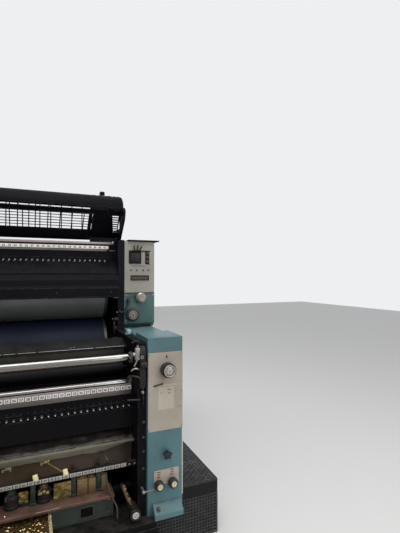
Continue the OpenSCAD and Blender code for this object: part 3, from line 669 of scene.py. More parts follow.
def newTree(name, inputs):
    tree = bpy.data.node_groups.new(name, "GeometryNodeTree")
    sockets = [("Geometry", "Geometry"), *inputs, ("Material", "Material")]
    for label, kind in sockets:
        tree.interface.new_socket(label, in_out="INPUT", socket_type="NodeSocket" + kind)
    tree.interface.new_socket("Geometry", in_out="OUTPUT", socket_type="NodeSocketGeometry")
    graph = Graph(tree)
    return graph, graph.add("NodeGroupInput").outputs, graph.add("NodeGroupOutput").inputs


def endTree(graph, given, result, geometry):
    real = graph.add("GeometryNodeRealizeInstances", {0: geometry}).outputs[0]
    inputs = {"Geometry": real, "Material": given["Material"]}
    graph.put(result[0], graph.add("GeometryNodeSetMaterial", inputs).outputs[0])
    return graph.tree


def endWithCopies(graph, given, result, points, turn):  # the part on every point, jittered
    ends = [
        graph.vector("SCALE", (1.0, 1.0, 1.0), graph.math("MULTIPLY", given["jitter"], sign))
        for sign in (-1.0, 1.0)
    ]
    jitter = graph.add("FunctionNodeRandomValue", data_type="FLOAT_VECTOR")
    graph.fill(jitter.inputs, {"Min": ends[0], "Max": ends[1], "Seed": given["seed"]})
    total = graph.vector("ADD", turn, jitter.outputs["Value"])
    spin = graph.add("FunctionNodeEulerToRotation", {0: total}).outputs[0]
    source = graph.add("GeometryNodeObjectInfo", {"Object": given["part"]}).outputs["Geometry"]
    copies = graph.add("GeometryNodeInstanceOnPoints", {
        "Points": points, "Instance": source, "Rotation": spin,
    })
    return endTree(graph, given, result, copies.outputs[0])


def makeRowsTree():
    inputs = (
        ("part", "Object"), ("columns", "Int"), ("rows", "Int"), ("start", "Vector"),
        ("step", "Vector"), ("rowStep", "Vector"), ("facing", "Vector"), ("jitter", "Float"),
        ("seed", "Int"),
    )
    graph, given, result = newTree("copiesInRows", inputs)
    count = graph.math("MULTIPLY", given["columns"], given["rows"])
    line = graph.add("GeometryNodeMeshLine", {"Count": count}, mode="OFFSET").outputs[0]
    index = graph.add("GeometryNodeInputIndex").outputs[0]
    column = graph.math("MODULO", index, given["columns"])
    row = graph.math("FLOOR", graph.math("DIVIDE", index, given["columns"]))
    spot = given["start"]
    for label, number in (("step", column), ("rowStep", row)):
        spot = graph.vector("ADD", spot, graph.vector("SCALE", given[label], number))
    move = graph.add("GeometryNodeSetPosition", {"Geometry": line, "Position": spot})
    return endWithCopies(graph, given, result, move.outputs[0], given["facing"])


def makeSpotsTree():
    inputs = (("part", "Object"), ("facing", "Vector"), ("jitter", "Float"), ("seed", "Int"))
    graph, given, result = newTree("copiesOnSpots", inputs)
    return endWithCopies(graph, given, result, given["Geometry"], given["facing"])


def makeRingTree():
    inputs = (("part", "Object"), ("count", "Int"), ("radius", "Float"), ("jitter", "Float"),
              ("seed", "Int"))
    graph, given, result = newTree("copiesInRing", inputs)
    ring = graph.add("GeometryNodeMeshCircle",
                     {"Vertices": given["count"], "Radius": given["radius"]})
    index = graph.add("GeometryNodeInputIndex").outputs[0]
    angle = graph.math("DIVIDE", graph.math("MULTIPLY", index, math.tau), given["count"])
    return endWithCopies(graph, given, result, ring.outputs[0], graph.upward(angle))


def makeSheetTree():  # a thin sheet with a creased top, its low corner at the origin
    inputs = (
        ("width", "Float"), ("depth", "Float"), ("across", "Int"), ("along", "Int"),
        ("thickness", "Float"), ("crease", "Float"), ("scale", "Float"), ("seed", "Float"),
    )
    graph, given, result = newTree("creasedSheet", inputs)
    grid = graph.add("GeometryNodeMeshGrid", {
        "Size X": given["width"], "Size Y": given["depth"], "Vertices X": given["across"],
        "Vertices Y": given["along"],
    }).outputs["Mesh"]
    raised = graph.add("GeometryNodeExtrudeMesh", {
        "Individual": False, "Mesh": grid, "Offset": graph.upward(given["thickness"]),
        "Offset Scale": 1.0,
    }, mode="FACES").outputs
    crumple = graph.add("ShaderNodeTexNoise", {
        "Vector": graph.add("GeometryNodeInputPosition").outputs[0], "Scale": given["scale"],
        "Detail": 3.0,
    }, noise_dimensions="4D")
    graph.put(crumple.inputs["W"], given["seed"])
    ridge = graph.math("ABSOLUTE", graph.math("SUBTRACT", crumple.outputs[0], 0.5))
    height = graph.math("MULTIPLY", graph.math("MULTIPLY", ridge, -2.2), given["crease"])
    move = graph.add("GeometryNodeSetPosition", {
        "Geometry": raised["Mesh"], "Selection": raised["Top"], "Offset": graph.upward(height),
    })
    under = graph.add("GeometryNodeFlipFaces", {"Mesh": grid})
    whole = graph.add("GeometryNodeJoinGeometry")
    for side in (move, under):
        graph.put(whole.inputs[0], side.outputs[0])
    welded = graph.add("GeometryNodeMergeByDistance", {"Geometry": whole.outputs[0]}).outputs[0]
    corner = graph.add("ShaderNodeCombineXYZ", {
        "X": graph.math("MULTIPLY", given["width"], 0.5),
        "Y": graph.math("MULTIPLY", given["depth"], 0.5),
    }).outputs[0]
    placed = graph.add("GeometryNodeSetPosition", {"Geometry": welded, "Offset": corner})
    return endTree(graph, given, result, placed.outputs[0])


trees = {
    "rows": makeRowsTree(), "spots": makeSpotsTree(), "ring": makeRingTree(),
    "sheet": makeSheetTree(),
}


def grow(bm, matrix, kind, finish, source=None, part=None, **values):  # adds what a tree makes
    carrier = addObject("carrier", source or bpy.data.meshes.new("carrier"))
    if part is not None:
        mesh = bpy.data.meshes.new("seedPart")
        part.to_mesh(mesh)
        part.free()
        values["part"] = addObject("seedPart", mesh)
    values["Material"] = finishes[finish]
    modifier = carrier.modifiers.new(kind, "NODES")
    modifier.node_group = trees[kind]
    for item in trees[kind].interface.items_tree:
        if item.item_type == "SOCKET" and item.in_out == "INPUT" and item.name in values:
            modifier[item.identifier] = values[item.name]
    view = bpy.context.evaluated_depsgraph_get()
    mesh = bpy.data.meshes.new_from_object(carrier.evaluated_get(view))
    carrier.modifiers.remove(modifier)
    bpy.data.objects.remove(carrier)
    if part is not None:
        bpy.data.objects.remove(values["part"])
    mergeMesh(bm, mesh, matrix)


def addRows(bm, finish, part, columns, start, step, rows=1, rowStep=(0.0, 0.0, 0.0),
            facing=(0.0, 0.0, 0.0), jitter=0.0, seed=1, matrix=None):
    grow(bm, matrix, "rows", finish, part=part, columns=columns, rows=rows, start=start, step=step,
         rowStep=rowStep, facing=facing, jitter=jitter, seed=seed)


def addSpots(bm, finish, part, spots, facing=(0.0, 0.0, 0.0)):
    points = bpy.data.meshes.new("spots")
    points.from_pydata([tuple(s) for s in spots], [], [])
    grow(bm, None, "spots", finish, source=points, part=part, facing=facing, jitter=0.0, seed=1)


def addRing(bm, finish, part, count, radius, matrix=None):
    grow(bm, matrix, "ring", finish, part=part, count=count, radius=radius, jitter=0.0, seed=1)


toFrontTurn = (math.pi / 2, 0.0, 0.0)     # local Z to -Y
toBackTurn = (-math.pi / 2, 0.0, 0.0)     # local Z to +Y
toRightTurn = (0.0, math.pi / 2, 0.0)     # local Z to +X
upTurn = (0.0, 0.0, 0.0)


def screwPart(radius, height):  # socket screw, along local Z
    part = bmesh.new()
    profile = ((0.0, 0.35 * height), (0.5 * radius, 0.35 * height), (0.5 * radius, height),
               (0.85 * radius, height), (radius, 0.8 * height), (radius, 0.0))
    addTurned(part, profile, steps=12)
    return part


def boltPart(radius, height):  # hexagon bolt on a washer, along local Z
    part = bmesh.new()
    addTurned(part, ((radius * 1.35, 0.0), (radius * 1.35, height * 0.2)), steps=14)
    addTurned(part, ((radius, height * 0.2), (radius, height * 0.85), (radius * 0.86, height)),
              steps=6)
    return part


def makeFixings(name, part, spots, finish="satinSteel", turn=toFrontTurn, body="machine",
                mirror=True):
    bm = bmesh.new()
    addSpots(bm, finish, part, spots, turn)
    makePiece(name, bm, finish, body, mirror=mirror)


print("Geometry Nodes trees ready")


# base, side frames, columns and housings

panelY = low("front_panels").y
faceY = panelY + 0.003                     # front of the columns
housingY = low("control_box").y            # front of the upper housings
frameIn = high("apron_plate").x            # inner face of the operator's side frame
frameOut = high("operator_side_frame").x
columnIn = low("operator_column").x
columnOut = high("operator_column").x
lowTop = high("delivery_cover").z          # top of the lower storey
plinthTop = high("plinth").z

baseSet = {"edge": 0.005, "lip": 0.03, "lipInset": 0.006, "bolt": 0.011}


def makePlinth():
    a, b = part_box("plinth")
    bm = bmesh.new()
    addBlock(bm, a, (b.x, b.y, b.z - baseSet["lip"]), baseSet["edge"])
    inset = baseSet["lipInset"]
    addBlock(bm, (a.x + inset, a.y + inset, b.z - baseSet["lip"] - 0.004),
             (b.x - inset, b.y - inset, b.z), 0.003)
    makePiece("plinthCasting", bm, "darkPaint", stands=("plinth",))
    bm = bmesh.new()
    for side in (-1, 1):
        addRows(bm, "castMetal", boltPart(baseSet["bolt"], 0.008), 2, (side * 0.4, a.y, 0.09),
                (side * 0.32, 0.0, 0.0), facing=toFrontTurn)
    makePiece("plinthBolts", bm, "castMetal")


makePlinth()

frameSet = {
    "edge": 0.003, "ringThick": 0.012, "bolt": 0.006, "frontBolts": (0.811, 0.731, 0.655, 0.566),
    "bearings": (   # outer and inner radius of the flange, screws, what turns in it
        (0.07, 0.0462, 8, ("upper_plate_cylinder", "upper_blanket_cylinder", "common_cylinder",
                           "lower_blanket_cylinder", "lower_plate_cylinder")),
        (0.034, 0.0122, 4, ("upper_fountain_roller", "lower_fountain_roller", "water_roller")),
    ),
}


def cylinderAxis(node):  # (y, z) of a cylinder's axis
    a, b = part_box(node)
    return (a.y + b.y) / 2, (a.z + b.z) / 2


def makeFrames():
    soften((
        ("operator_side_frame", "operatorFrameCasting", "blackPaint", frameSet["edge"]),
        ("drive_side_frame", "driveFrameCasting", "blackPaint", frameSet["edge"]),
    ))
    rings, bolts = bmesh.new(), bmesh.new()
    t = frameSet["ringThick"]
    for outer, inner, screws, nodes in frameSet["bearings"]:
        profile = ((inner, 0.0), (outer, 0.0), (outer, t * 0.7), (outer - 0.003, t), (inner, t))
        for y, z in (cylinderAxis(node) for node in nodes):
            addTurned(rings, profile, toLeft(frameIn, y, z), 36, closed=True)
            addRing(bolts, "castMetal", screwPart(0.005, 0.004), screws, (outer + inner) / 2,
                    toLeft(frameIn - t, y, z))
    makePiece("bearingFlanges", rings, "castMetal", mirror=True)
    makePiece("bearingScrews", bolts, "satinSteel", mirror=True)
    spots = [(frameIn + 0.03, low("operator_side_frame").y, z) for z in frameSet["frontBolts"]]
    makeFixings("frameEdgeBolts", boltPart(frameSet["bolt"], 0.006), spots, "oilySteel")


columnSet = {
    "edge": 0.004, "strip": 0.0045, "stripFrom": 0.395, "stripTo": 1.176,
    "footBolt": 0.009, "footBoltX": 0.81, "footBoltY": -0.03, "footBoltZ": 0.352,
}


def makeColumns():
    soften((
        ("operator_column", "operatorColumnCasting", "tealPaint", columnSet["edge"]),
        ("drive_column", "driveColumnCasting", "tealPaint", columnSet["edge"]),
        ("rear_columns", "rearColumnCastings", "tealPaint", columnSet["edge"]),
        ("front_panels", "columnPanels", "beigePaint", 0.0012),
    ))
    makeBlocks("columnEdgeStrips", "creamPaint", (
        ((columnOut - columnSet["strip"], faceY - 0.0012, columnSet["stripFrom"]),
         (columnOut + 0.0008, faceY + 0.006, columnSet["stripTo"]), 0.0005),
    ))
    spot = (columnSet["footBoltX"], faceY + columnSet["footBoltY"], columnSet["footBoltZ"])
    makeFixings("footBolts", boltPart(columnSet["footBolt"], 0.016), [spot], "castMetal", upTurn)


panelSet = {
    "screws": ((0.765, 1.06), (0.765, 0.957), (0.951, 0.961), (0.939, 0.876),
               (0.765, 1.168), (0.951, 1.168), (0.765, 0.768), (0.951, 0.768)),
    "mark": (0.864, 1.153, 0.0045, 0.009),
    "latch": ((0.792, 1.002), (0.84, 1.01)),
    "label": (0.816, 0.905, 0.87, 0.991),
    "strokes": ((0.869, 0.972, 0.022), (0.872, 0.953, 0.014), (0.829, 0.958, 0.008)),
}


def makePanelDetails():
    spots = [(x, panelY, z) for x, z in panelSet["screws"]]
    makeFixings("panelScrews", screwPart(0.0042, 0.0022), spots)
    x, z, w, h = panelSet["mark"]
    bm = bmesh.new()
    outline = [(w * math.cos(a), h * math.sin(a)) for a in circle(20)]
    addPlate(bm, outline, 0.0008, toFront(x, panelY, z))
    (x0, z0), (x1, z1) = panelSet["latch"]
    addTube(bm, ((x0, panelY - 0.001, z0), (x0 + 0.006, panelY - 0.009, z0 + 0.001),
                 ((x0 + x1) / 2, panelY - 0.011, (z0 + z1) / 2 + 0.002),
                 (x1 - 0.004, panelY - 0.008, z1), (x1, panelY - 0.001, z1)), 0.0042)
    makePiece("panelLatch", bm, "markBlack")
    x0, x1, z0, z1 = panelSet["label"]
    makePlates("blankLabel", "palePaper", panelY, (
        (x0, x1, z0, z1, 0.0006), (0.842, 0.923, 0.994, 1.004, 0.0005),
    ))
    strokes = [(x, x + w, z, z + 0.0045, 0.0003) for x, z, w in panelSet["strokes"]]
    makePlates("labelMarks", "greyInk", panelY - 0.0006, strokes)


caseSet = {
    "doors": ((-1.19, -0.36), (-0.34, 0.52), (0.54, 1.4)), "low": 0.4, "high": 1.19,
    "proud": 0.004, "vents": 9,
}


def makeGearCases():
    soften((
        ("operator_gear_case", "operatorGearCover", "tealPaint", 0.004),
        ("drive_gear_case", "driveGearCover", "tealPaint", 0.004),
    ))
    outer = high("operator_gear_case").x
    doors, darks, screws = (bmesh.new() for i in range(3))
    for y0, y1 in caseSet["doors"]:
        outline = roundedOutline(y0, y1, caseSet["low"], caseSet["high"], 0.02)
        addPlate(doors, outline, caseSet["proud"], toSide(outer), 0.0015)
        mid = (y0 + y1) / 2
        vent = bmesh.new()
        addPlate(vent, ((-0.06, -0.004), (0.06, -0.004), (0.055, 0.004), (-0.055, 0.004)), 0.0035,
                 facing((1, 0, 0)))
        addRows(darks, "markBlack", vent, caseSet["vents"], (outer + caseSet["proud"], mid, 0.52),
                (0.0, 0.0, 0.018))
        addTube(darks, ((outer + 0.003, y0 + 0.05, 0.86), (outer + 0.009, y0 + 0.05, 0.868),
                        (outer + 0.009, y0 + 0.05, 0.932), (outer + 0.003, y0 + 0.05, 0.94)), 0.004)
        spots = [(outer + caseSet["proud"], y, z) for y in (y0 + 0.03, y1 - 0.03)
                 for z in (caseSet["low"] + 0.03, caseSet["high"] - 0.03)]
        addSpots(screws, "satinSteel", screwPart(0.006, 0.003), spots, facing=toRightTurn)
    makePiece("gearCoverDoors", doors, "tealPaint", mirror=True)
    makePiece("gearCoverVents", darks, "darkPaint", mirror=True)
    makePiece("gearCoverScrews", screws, "satinSteel", mirror=True)


housingSet = {
    "edge": 0.004, "doors": ((-0.83, -0.12, 1.3, 1.78), (-0.1, 0.25, 1.3, 1.78)),
    "screws": ((0.764, 1.296), (0.948, 1.3), (0.764, 1.462), (0.948, 1.462)),
}


def makeHousings():
    # the housings and their side doors take the darker teal copy, a painted shade
    soften((
        ("operator_upper_housing", "operatorHousing", "tealPaintedShade", housingSet["edge"]),
        ("drive_upper_housing", "driveHousing", "tealPaintedShade", housingSet["edge"]),
    ))
    doors, screws = bmesh.new(), bmesh.new()
    for y0, y1, z0, z1 in housingSet["doors"]:
        addPlate(doors, roundedOutline(y0, y1, z0, z1, 0.02), 0.004, toSide(columnOut), 0.0015)
        spots = [(columnOut + 0.004, y, z) for y in (y0 + 0.03, (y0 + y1) / 2, y1 - 0.03)
                 for z in (z0 + 0.03, z1 - 0.03)]
        addSpots(screws, "satinSteel", screwPart(0.006, 0.003), spots, facing=toRightTurn)
    makePiece("housingSideDoors", doors, "tealPaintedShade", mirror=True)
    spots = [(x, housingY, z) for x, z in housingSet["screws"]]
    addSpots(screws, "satinSteel", screwPart(0.005, 0.003), spots, facing=toFrontTurn)
    makePiece("housingScrews", screws, "satinSteel", mirror=True)
    z = low("control_box").z
    # dark strip under the control box: a gasket line and painted shadow under the box
    makeBlocks("boxGaskets", "markBlack", (
        ((frameOut + 0.004, housingY - 0.001, z - 0.005), (columnOut - 0.003, housingY + 0.02, z),
         0.001),
    ))


boxSet = {
    "screen": (0.782, 0.864, 1.673, 1.754), "rockers": (0.8934, 0.9221, 1.67, 1.761),
    "line": (0.803, 0.892, 1.6555, 1.6585),
    "lamps": (0.796, 0.835, 0.88, 0.917), "lampHeight": 1.63,
    "counter": (0.794, 0.919, 1.561, 1.594),
    "digits": "004715",
}


def makeControlBox():
    soften((
        ("control_box", "controlBoxCase", "boxPaint", 0.004),
        ("drive_box", "driveBoxCase", "boxPaint", 0.004),
        ("box_shelves", "boxShelfPlates", "blackPaint", 0.0015),
    ))
    y = housingY
    x0, x1, z0, z1 = boxSet["screen"]
    rock0, rock1, rockLow, rockHigh = boxSet["rockers"]
    cx0, cx1, cz0, cz1 = boxSet["counter"]
    rim = 0.005
    makePlates("boxInstrumentFrames", "darkPaint", y, (
        (x0, x1, z0, z1, 0.008, 0.002), (rock0, rock1, rockLow, rockHigh, 0.004, 0.0015),
        (cx0, cx1, cz0, cz0 + rim, rim, 0.001), (cx0, cx1, cz1 - rim, cz1, rim, 0.001),
        (cx0, cx0 + rim, cz0, cz1, rim, 0.001), (cx1 - rim, cx1, cz0, cz1, rim, 0.001),
        (0.782, 0.93, 1.7545, 1.7605, 0.006, 0.001),
    ))
    glass = (x0 + 0.007, x1 - 0.007, z0 + 0.007, z1 - 0.012, 0.0008, 0.0003)
    makePlates("boxScreenGlass", "glassDark", y - 0.0078, (glass,))
    window = (cx0 + 0.004, cx1 - 0.004, cz0 + 0.004, cz1 - 0.004, 0.0015)
    makePlates("counterWindow", "counterBrown", y, (window,))
    bm = bmesh.new()
    step = (cx1 - cx0 - 0.02) / len(boxSet["digits"])
    for i, digit in enumerate(boxSet["digits"]):
        addText(bm, digit, 0.017, toFront(cx0 + 0.012 + i * step, y - 0.0015, cz0 + 0.01))
    makePiece("counterDigits", bm, "greyInk")
    bm = bmesh.new()
    for x in boxSet["lamps"]:
        addTurned(bm, ((0.0, 0.007), (0.0035, 0.0065), (0.0046, 0.004), (0.0046, 0.0)),
                  toFront(x, y, boxSet["lampHeight"]), 16)
    frontPlate(bm, *boxSet["line"], y, 0.0006)
    for z in (rockLow + 0.006 + k * 0.028 for k in range(3)):
        frontPlate(bm, rock0 + 0.004, rock1 - 0.004, z, z + 0.023, y - 0.004, 0.004, 0.0012)
    for x, tilt, reach in ((0.822, -0.35, 0.03), (0.836, 0.1, 0.036), (0.85, 0.5, 0.028)):
        addTube(bm, ((x, y, 1.76), (x + tilt * 0.012, y - 0.012, 1.766),
                     (x + tilt * 0.03, y - 0.02, 1.762 + reach)), 0.0042, 8)
    makePiece("boxButtons", bm, "knobBlack")
    trim = (rock1 + 0.0004, rock1 + 0.006, rockLow, rockHigh - 0.004, 0.0045, 0.001)
    makePlates("rockerTrim", "palePaper", y, (trim,))
    spots = [(x, y, z) for x in (0.762, 0.948) for z in (1.497, 1.808)]
    makeFixings("boxScrews", screwPart(0.004, 0.0022), spots)


makeFrames()
makeColumns()
makePanelDetails()
makeGearCases()
makeHousings()
makeControlBox()
print("frames, columns and housings ready")


# hood over the upper storey

hoodSet = {
    "top": high("hood_cover").z - 0.038,   # top of the sheet, under the rubber stops
    "nose": low("hood_cover").y, "half": high("hood_cover").x,
    "inner": high("hood_grille").x, "pin": (-0.2315, 1.8806),
    "gridFrom": 0.036, "gridTo": 0.168, "gridHalf": 0.53, "wires": 5, "wireRadius": 0.0027,
    "barStep": 0.073, "barShift": -0.01, "rearShift": 0.025, "barRadius": 0.0032,
    "bars": 15, "rearBars": 17, "slots": 8, "slotStep": 0.0189, "slotFrom": 0.041,
    "slotHigh": 0.013,
    "slotWide": (0.682, 0.725), "slotNarrow": (0.706, 0.7295), "slit": (0.552, 0.5555),
}
grilleTop = (0.0, hoodSet["nose"] + 0.014, hoodSet["top"] - 0.11)
grilleLow = (0.0, hoodSet["nose"] + 0.18, low("hood_grille").z)
grilleTilt = math.atan2(grilleLow[2] - grilleTop[2], grilleLow[1] - grilleTop[1])
grilleRun = math.hypot(grilleLow[2] - grilleTop[2], grilleLow[1] - grilleTop[1])
grillePlane = Matrix.Translation(grilleTop) @ Matrix.Rotation(grilleTilt, 4, "X")


def noseLine():  # side view of the sheet's outer face, from its lower edge up and back
    y, z = hoodSet["nose"], hoodSet["top"]
    points = []
    for i in range(13):
        a = math.radians(7.5 * i)
        points.append((y + 0.102 - 0.102 * math.cos(a) ** 0.9,
                       z - 0.092 + 0.092 * math.sin(a) ** 1.1))
    return points


def makeHoodSheet():
    top, half = hoodSet["top"], hoodSet["half"]
    back = high("hood_cover").y
    outer = noseLine() + [(back, top)]
    t = 0.006
    inner = [(y + t * 0.7, z - t * 0.7) for y, z in outer[1:-1]]
    inner = [(outer[0][0] + t, outer[0][1])] + inner + [(back, top - t)]
    outline = outer + inner[::-1]
    bm = bmesh.new()
    part = bmesh.new()
    rings = []
    for x, pull in ((-half, 0.01), (-half + 0.004, 0.003), (-half + 0.012, 0.0),
                    (half - 0.012, 0.0), (half - 0.004, 0.003), (half, 0.01)):
        middle = (hoodSet["nose"] + 0.11, top - 0.06)
        ring = []
        for y, z in outline:
            dy, dz = middle[0] - y, middle[1] - z
            reach = max(math.hypot(dy, dz), 1e-6)
            near = min(1.0, pull / reach) if y < middle[0] + 0.05 else 0.0
            ring.append(part.verts.new((x, y + dy * near, z + dz * near)))
        rings.append(ring)
    joinRings(part, rings)
    merge(bm, part)
    addBlock(bm, (-half + 0.02, back - 0.022, top - 0.026),
             (half - 0.02, back - 0.003, top - 0.004), 0.002)
    makePiece("hoodSheet", bm, "blackPaint", "hood", ("hood_cover",))
    y, x0, x1 = hoodSet["nose"] + 0.13, 0.615, 0.646
    makeBlocks("hoodStops", "blackPaint", (
        ((x0, y, top - 0.001), (x1, y + 0.04, top + 0.034), 0.0025),
        ((x0 - 0.003, y - 0.003, top - 0.001), (x1 + 0.003, y + 0.043, top + 0.004), 0.001),
        ((x0 + 0.003, y + 0.006, top + 0.03), (x1 - 0.003, y + 0.034, top + 0.038), 0.0015),
    ), body="hood")
    bm = bmesh.new()
    chips = ((0.448, 0.012), (0.466, 0.006), (0.505, 0.01), (0.538, 0.036), (0.584, 0.02),
             (0.612, 0.06), (0.682, 0.024), (0.712, 0.016))
    line = noseLine()
    a, b = Vector((0, *line[-4])), Vector((0, *line[-3]))
    for x, length in chips:
        addTube(bm, (a + Vector((x, 0.006, 0.0006)), b + Vector((x + length, -0.006, 0.0006))),
                0.0017, 6)
    makePiece("hoodPaintChips", bm, "wornGreyAndPaintedLight", "hood")
    y = hoodSet["nose"]   # ribs and plates behind the open slot under the nose
    rows = [((x - 0.003, y + 0.006, top - 0.118), (x + 0.003, y + 0.024, top - 0.08), 0.001)
            for x in (0.066, 0.112, 0.209, 0.284)]
    rows += [((x0, y + 0.0035, top - 0.112), (x1, y + 0.012, top - 0.084), 0.001)
             for x0, x1 in ((0.532, 0.649), (0.688, 0.7335))]
    makeBlocks("noseRibs", "blackPaint", rows, body="hood")


def gridPlate(bm, x0, x1, s0, s1, t0, t1, bevel=0.0):
    addBlock(bm, (x0, s0, t0), (x1, s1, t1), bevel, matrix=grillePlane)


def makeGrille():
    s = hoodSet
    half, inner, run = s["gridHalf"], s["inner"], grilleRun
    t = 0.006
    bm = bmesh.new()
    start, end = s["gridFrom"], s["gridTo"]
    for s0, s1, t0, bevel in (
        (0.0, start, 0.0, 0.0015), (end, run, 0.0, 0.0015),
        (end - 0.001, end + 0.007, -0.004, 0.001),
        (start - 0.007, start + 0.001, -0.004, 0.001),
    ):
        gridPlate(bm, -half - 0.004, half + 0.004, s0, s1, t0, t, bevel)
    slotLow = s["slotFrom"] + (s["slots"] - 1) * s["slotStep"] + s["slotHigh"]
    wide, narrow, slit = s["slotWide"], s["slotNarrow"], s["slit"]
    plates = (
        ((slit[1], -0.016), (wide[0], -0.016), (wide[0], s["slotFrom"]), (narrow[0], slotLow),
         (narrow[0], run), (slit[1], run)),
        ((wide[1], -0.016), (inner, -0.016), (inner, run), (narrow[1], run), (narrow[1], slotLow),
         (wide[1], s["slotFrom"])),
        ((wide[0], -0.016), (wide[1], -0.016), (wide[1], s["slotFrom"]), (wide[0], s["slotFrom"])),
        ((narrow[0], slotLow), (narrow[1], slotLow), (narrow[1], run), (narrow[0], run)),
    )
    ends = bmesh.new()
    for outline in plates:
        addPlate(ends, outline, t, grillePlane)
    for i in range(s["slots"] - 1):
        s0 = s["slotFrom"] + i * s["slotStep"] + s["slotHigh"]
        share = (i + 0.5) / s["slots"]
        gridPlate(ends, wide[0] + share * (narrow[0] - wide[0]) - 0.002,
                  wide[1] + share * (narrow[1] - wide[1]) + 0.003, s0,
                  s0 + s["slotStep"] - s["slotHigh"], 0.0, t)
    for x0, x1 in ((half, slit[0]), (slit[1], slit[1] + 0.006)):   # upright rims
        gridPlate(ends, x0, x1, start - 0.006, end + 0.008, -0.003, t, 0.001)
    for s0, s1 in ((-0.016, start), (end, run)):
        gridPlate(ends, half + 0.002, slit[1] + 0.002, s0, s1, 0.0, t)
    mirrored(ends)
    merge(bm, ends)
    makePiece("grilleFrame", bm, "blackPaint", "hood", ("hood_grille",))
    bm = bmesh.new()
    step = (end - start) / (s["wires"] + 1)
    wire = bmesh.new()
    addTube(wire, ((-half - 0.002, 0, 0), (half + 0.002, 0, 0)), s["wireRadius"], 8)
    addRows(bm, "blackPaint", wire, s["wires"], (0.0, start + step, 0.0035),
            (0.0, step, 0.0), matrix=grillePlane)
    bar = bmesh.new()
    addTube(bar, ((0, start - 0.004, 0.0075), (0, end + 0.004, 0.0075)), s["barRadius"], 8)
    addRows(bm, "blackPaint", bar, s["bars"],
            (s["barShift"] - s["bars"] // 2 * s["barStep"], 0.0, 0.0),
            (s["barStep"], 0.0, 0.0), matrix=grillePlane)
    makePiece("grilleWires", bm, "blackPaint", "hood")
    back = high("hood_cover").y - 0.006
    bm = bmesh.new()
    addBlock(bm, (-0.7, back - 0.003, 1.861), (0.7, back + 0.003, 1.885), 0.001)
    bar = bmesh.new()
    addTube(bar, ((0, back, 1.875), (0, back, s["top"] - 0.012)), 0.0036, 8)
    addRows(bm, "blackPaint", bar, s["rearBars"],
            (s["rearShift"] - s["rearBars"] // 2 * s["barStep"], 0.0, 0.0),
            (s["barStep"], 0.0, 0.0))
    makePiece("hoodRearWires", bm, "blackPaint", "hood")


def makeHoodEnds():
    soften((("hood_ends", "hoodEndPlates", "blackPaint", 0.0025),), "hood")
    spots = [(0.7485, y, z) for y, z in ((-0.89, 2.02), (-0.885, 1.9), (-0.7, 2.105),
                                         (-0.41, 2.045))]
    makeFixings("hoodEndScrews", screwPart(0.006, 0.0035), spots, turn=toRightTurn, body="hood")
    bm = bmesh.new()
    pin = Vector((high("hood_ends").x - 0.0005, *hoodSet["pin"]))
    addTurned(bm, ((0.0, 0.0), (0.017, 0.0), (0.017, 0.004), (0.014, 0.006), (0.0, 0.006)),
              facing((1, 0, 0), pin), 24)
    makePiece("hingePinCaps", bm, "satinSteel", "hood", mirror=True)


makeHoodSheet()
makeGrille()
makeHoodEnds()
print("hood ready")


# ink ducts, keys, scales, rollers, cylinders and covers

ductSet = {
    "keyStep": 0.032, "keysLow": 44, "firstLow": -0.688, "keysTop": 41, "firstTop": -0.64,
    "dots": 120, "dotStep": 0.0107, "half": 0.711,
}
keyStep = (ductSet["keyStep"], 0.0, 0.0)
lowDuctFace = low("lower_ink_duct").y
topDuctFace = low("upper_ink_duct").y
lowKeyHeight = low("lower_ink_duct").z + 0.014
topKeyHeight = low("upper_ink_duct").z + 0.014


def makeDucts():
    soften((
        ("upper_ink_duct", "upperDuctTrough", "blackPaint", 0.002),
        ("lower_ink_duct", "lowerDuctTrough", "blackPaint", 0.002),
    ))
    half = ductSet["half"]
    rows = []   # ribs and ledges along the fronts of the ducts
    for face, z in ((lowDuctFace, low("lower_ink_duct").z), (topDuctFace, low("upper_ink_duct").z)):
        for z0, z1, out in ((0.03, 0.035, 0.003), (0.083, 0.09, 0.004), (0.0, 0.004, 0.002)):
            rows.append(((-half, face - out, z + z0), (half, face + 0.001, z + z1), 0.001))
    makeBlocks("ductLedges", "blackPaint", rows, mirror=False)
    bm = bmesh.new()   # small dark marks above the lower keys, dotted lines by the upper ones
    slot = blockPart((-0.0035, -0.0008, -0.0012), (0.0035, 0.0004, 0.0012), 0.0004)
    addRows(bm, "greyInk", slot, ductSet["keysLow"],
            (ductSet["firstLow"], lowDuctFace, lowKeyHeight + 0.028), keyStep)
    for rise in (0.019, -0.012):
        dot = blockPart((-0.0018, -0.0006, -0.0007), (0.0018, 0.0004, 0.0007))
        addRows(bm, "greyInk", dot, ductSet["dots"], (-0.637, topDuctFace, topKeyHeight + rise),
                (ductSet["dotStep"], 0.0, 0.0))
    makePiece("ductMarks", bm, "dimInk")


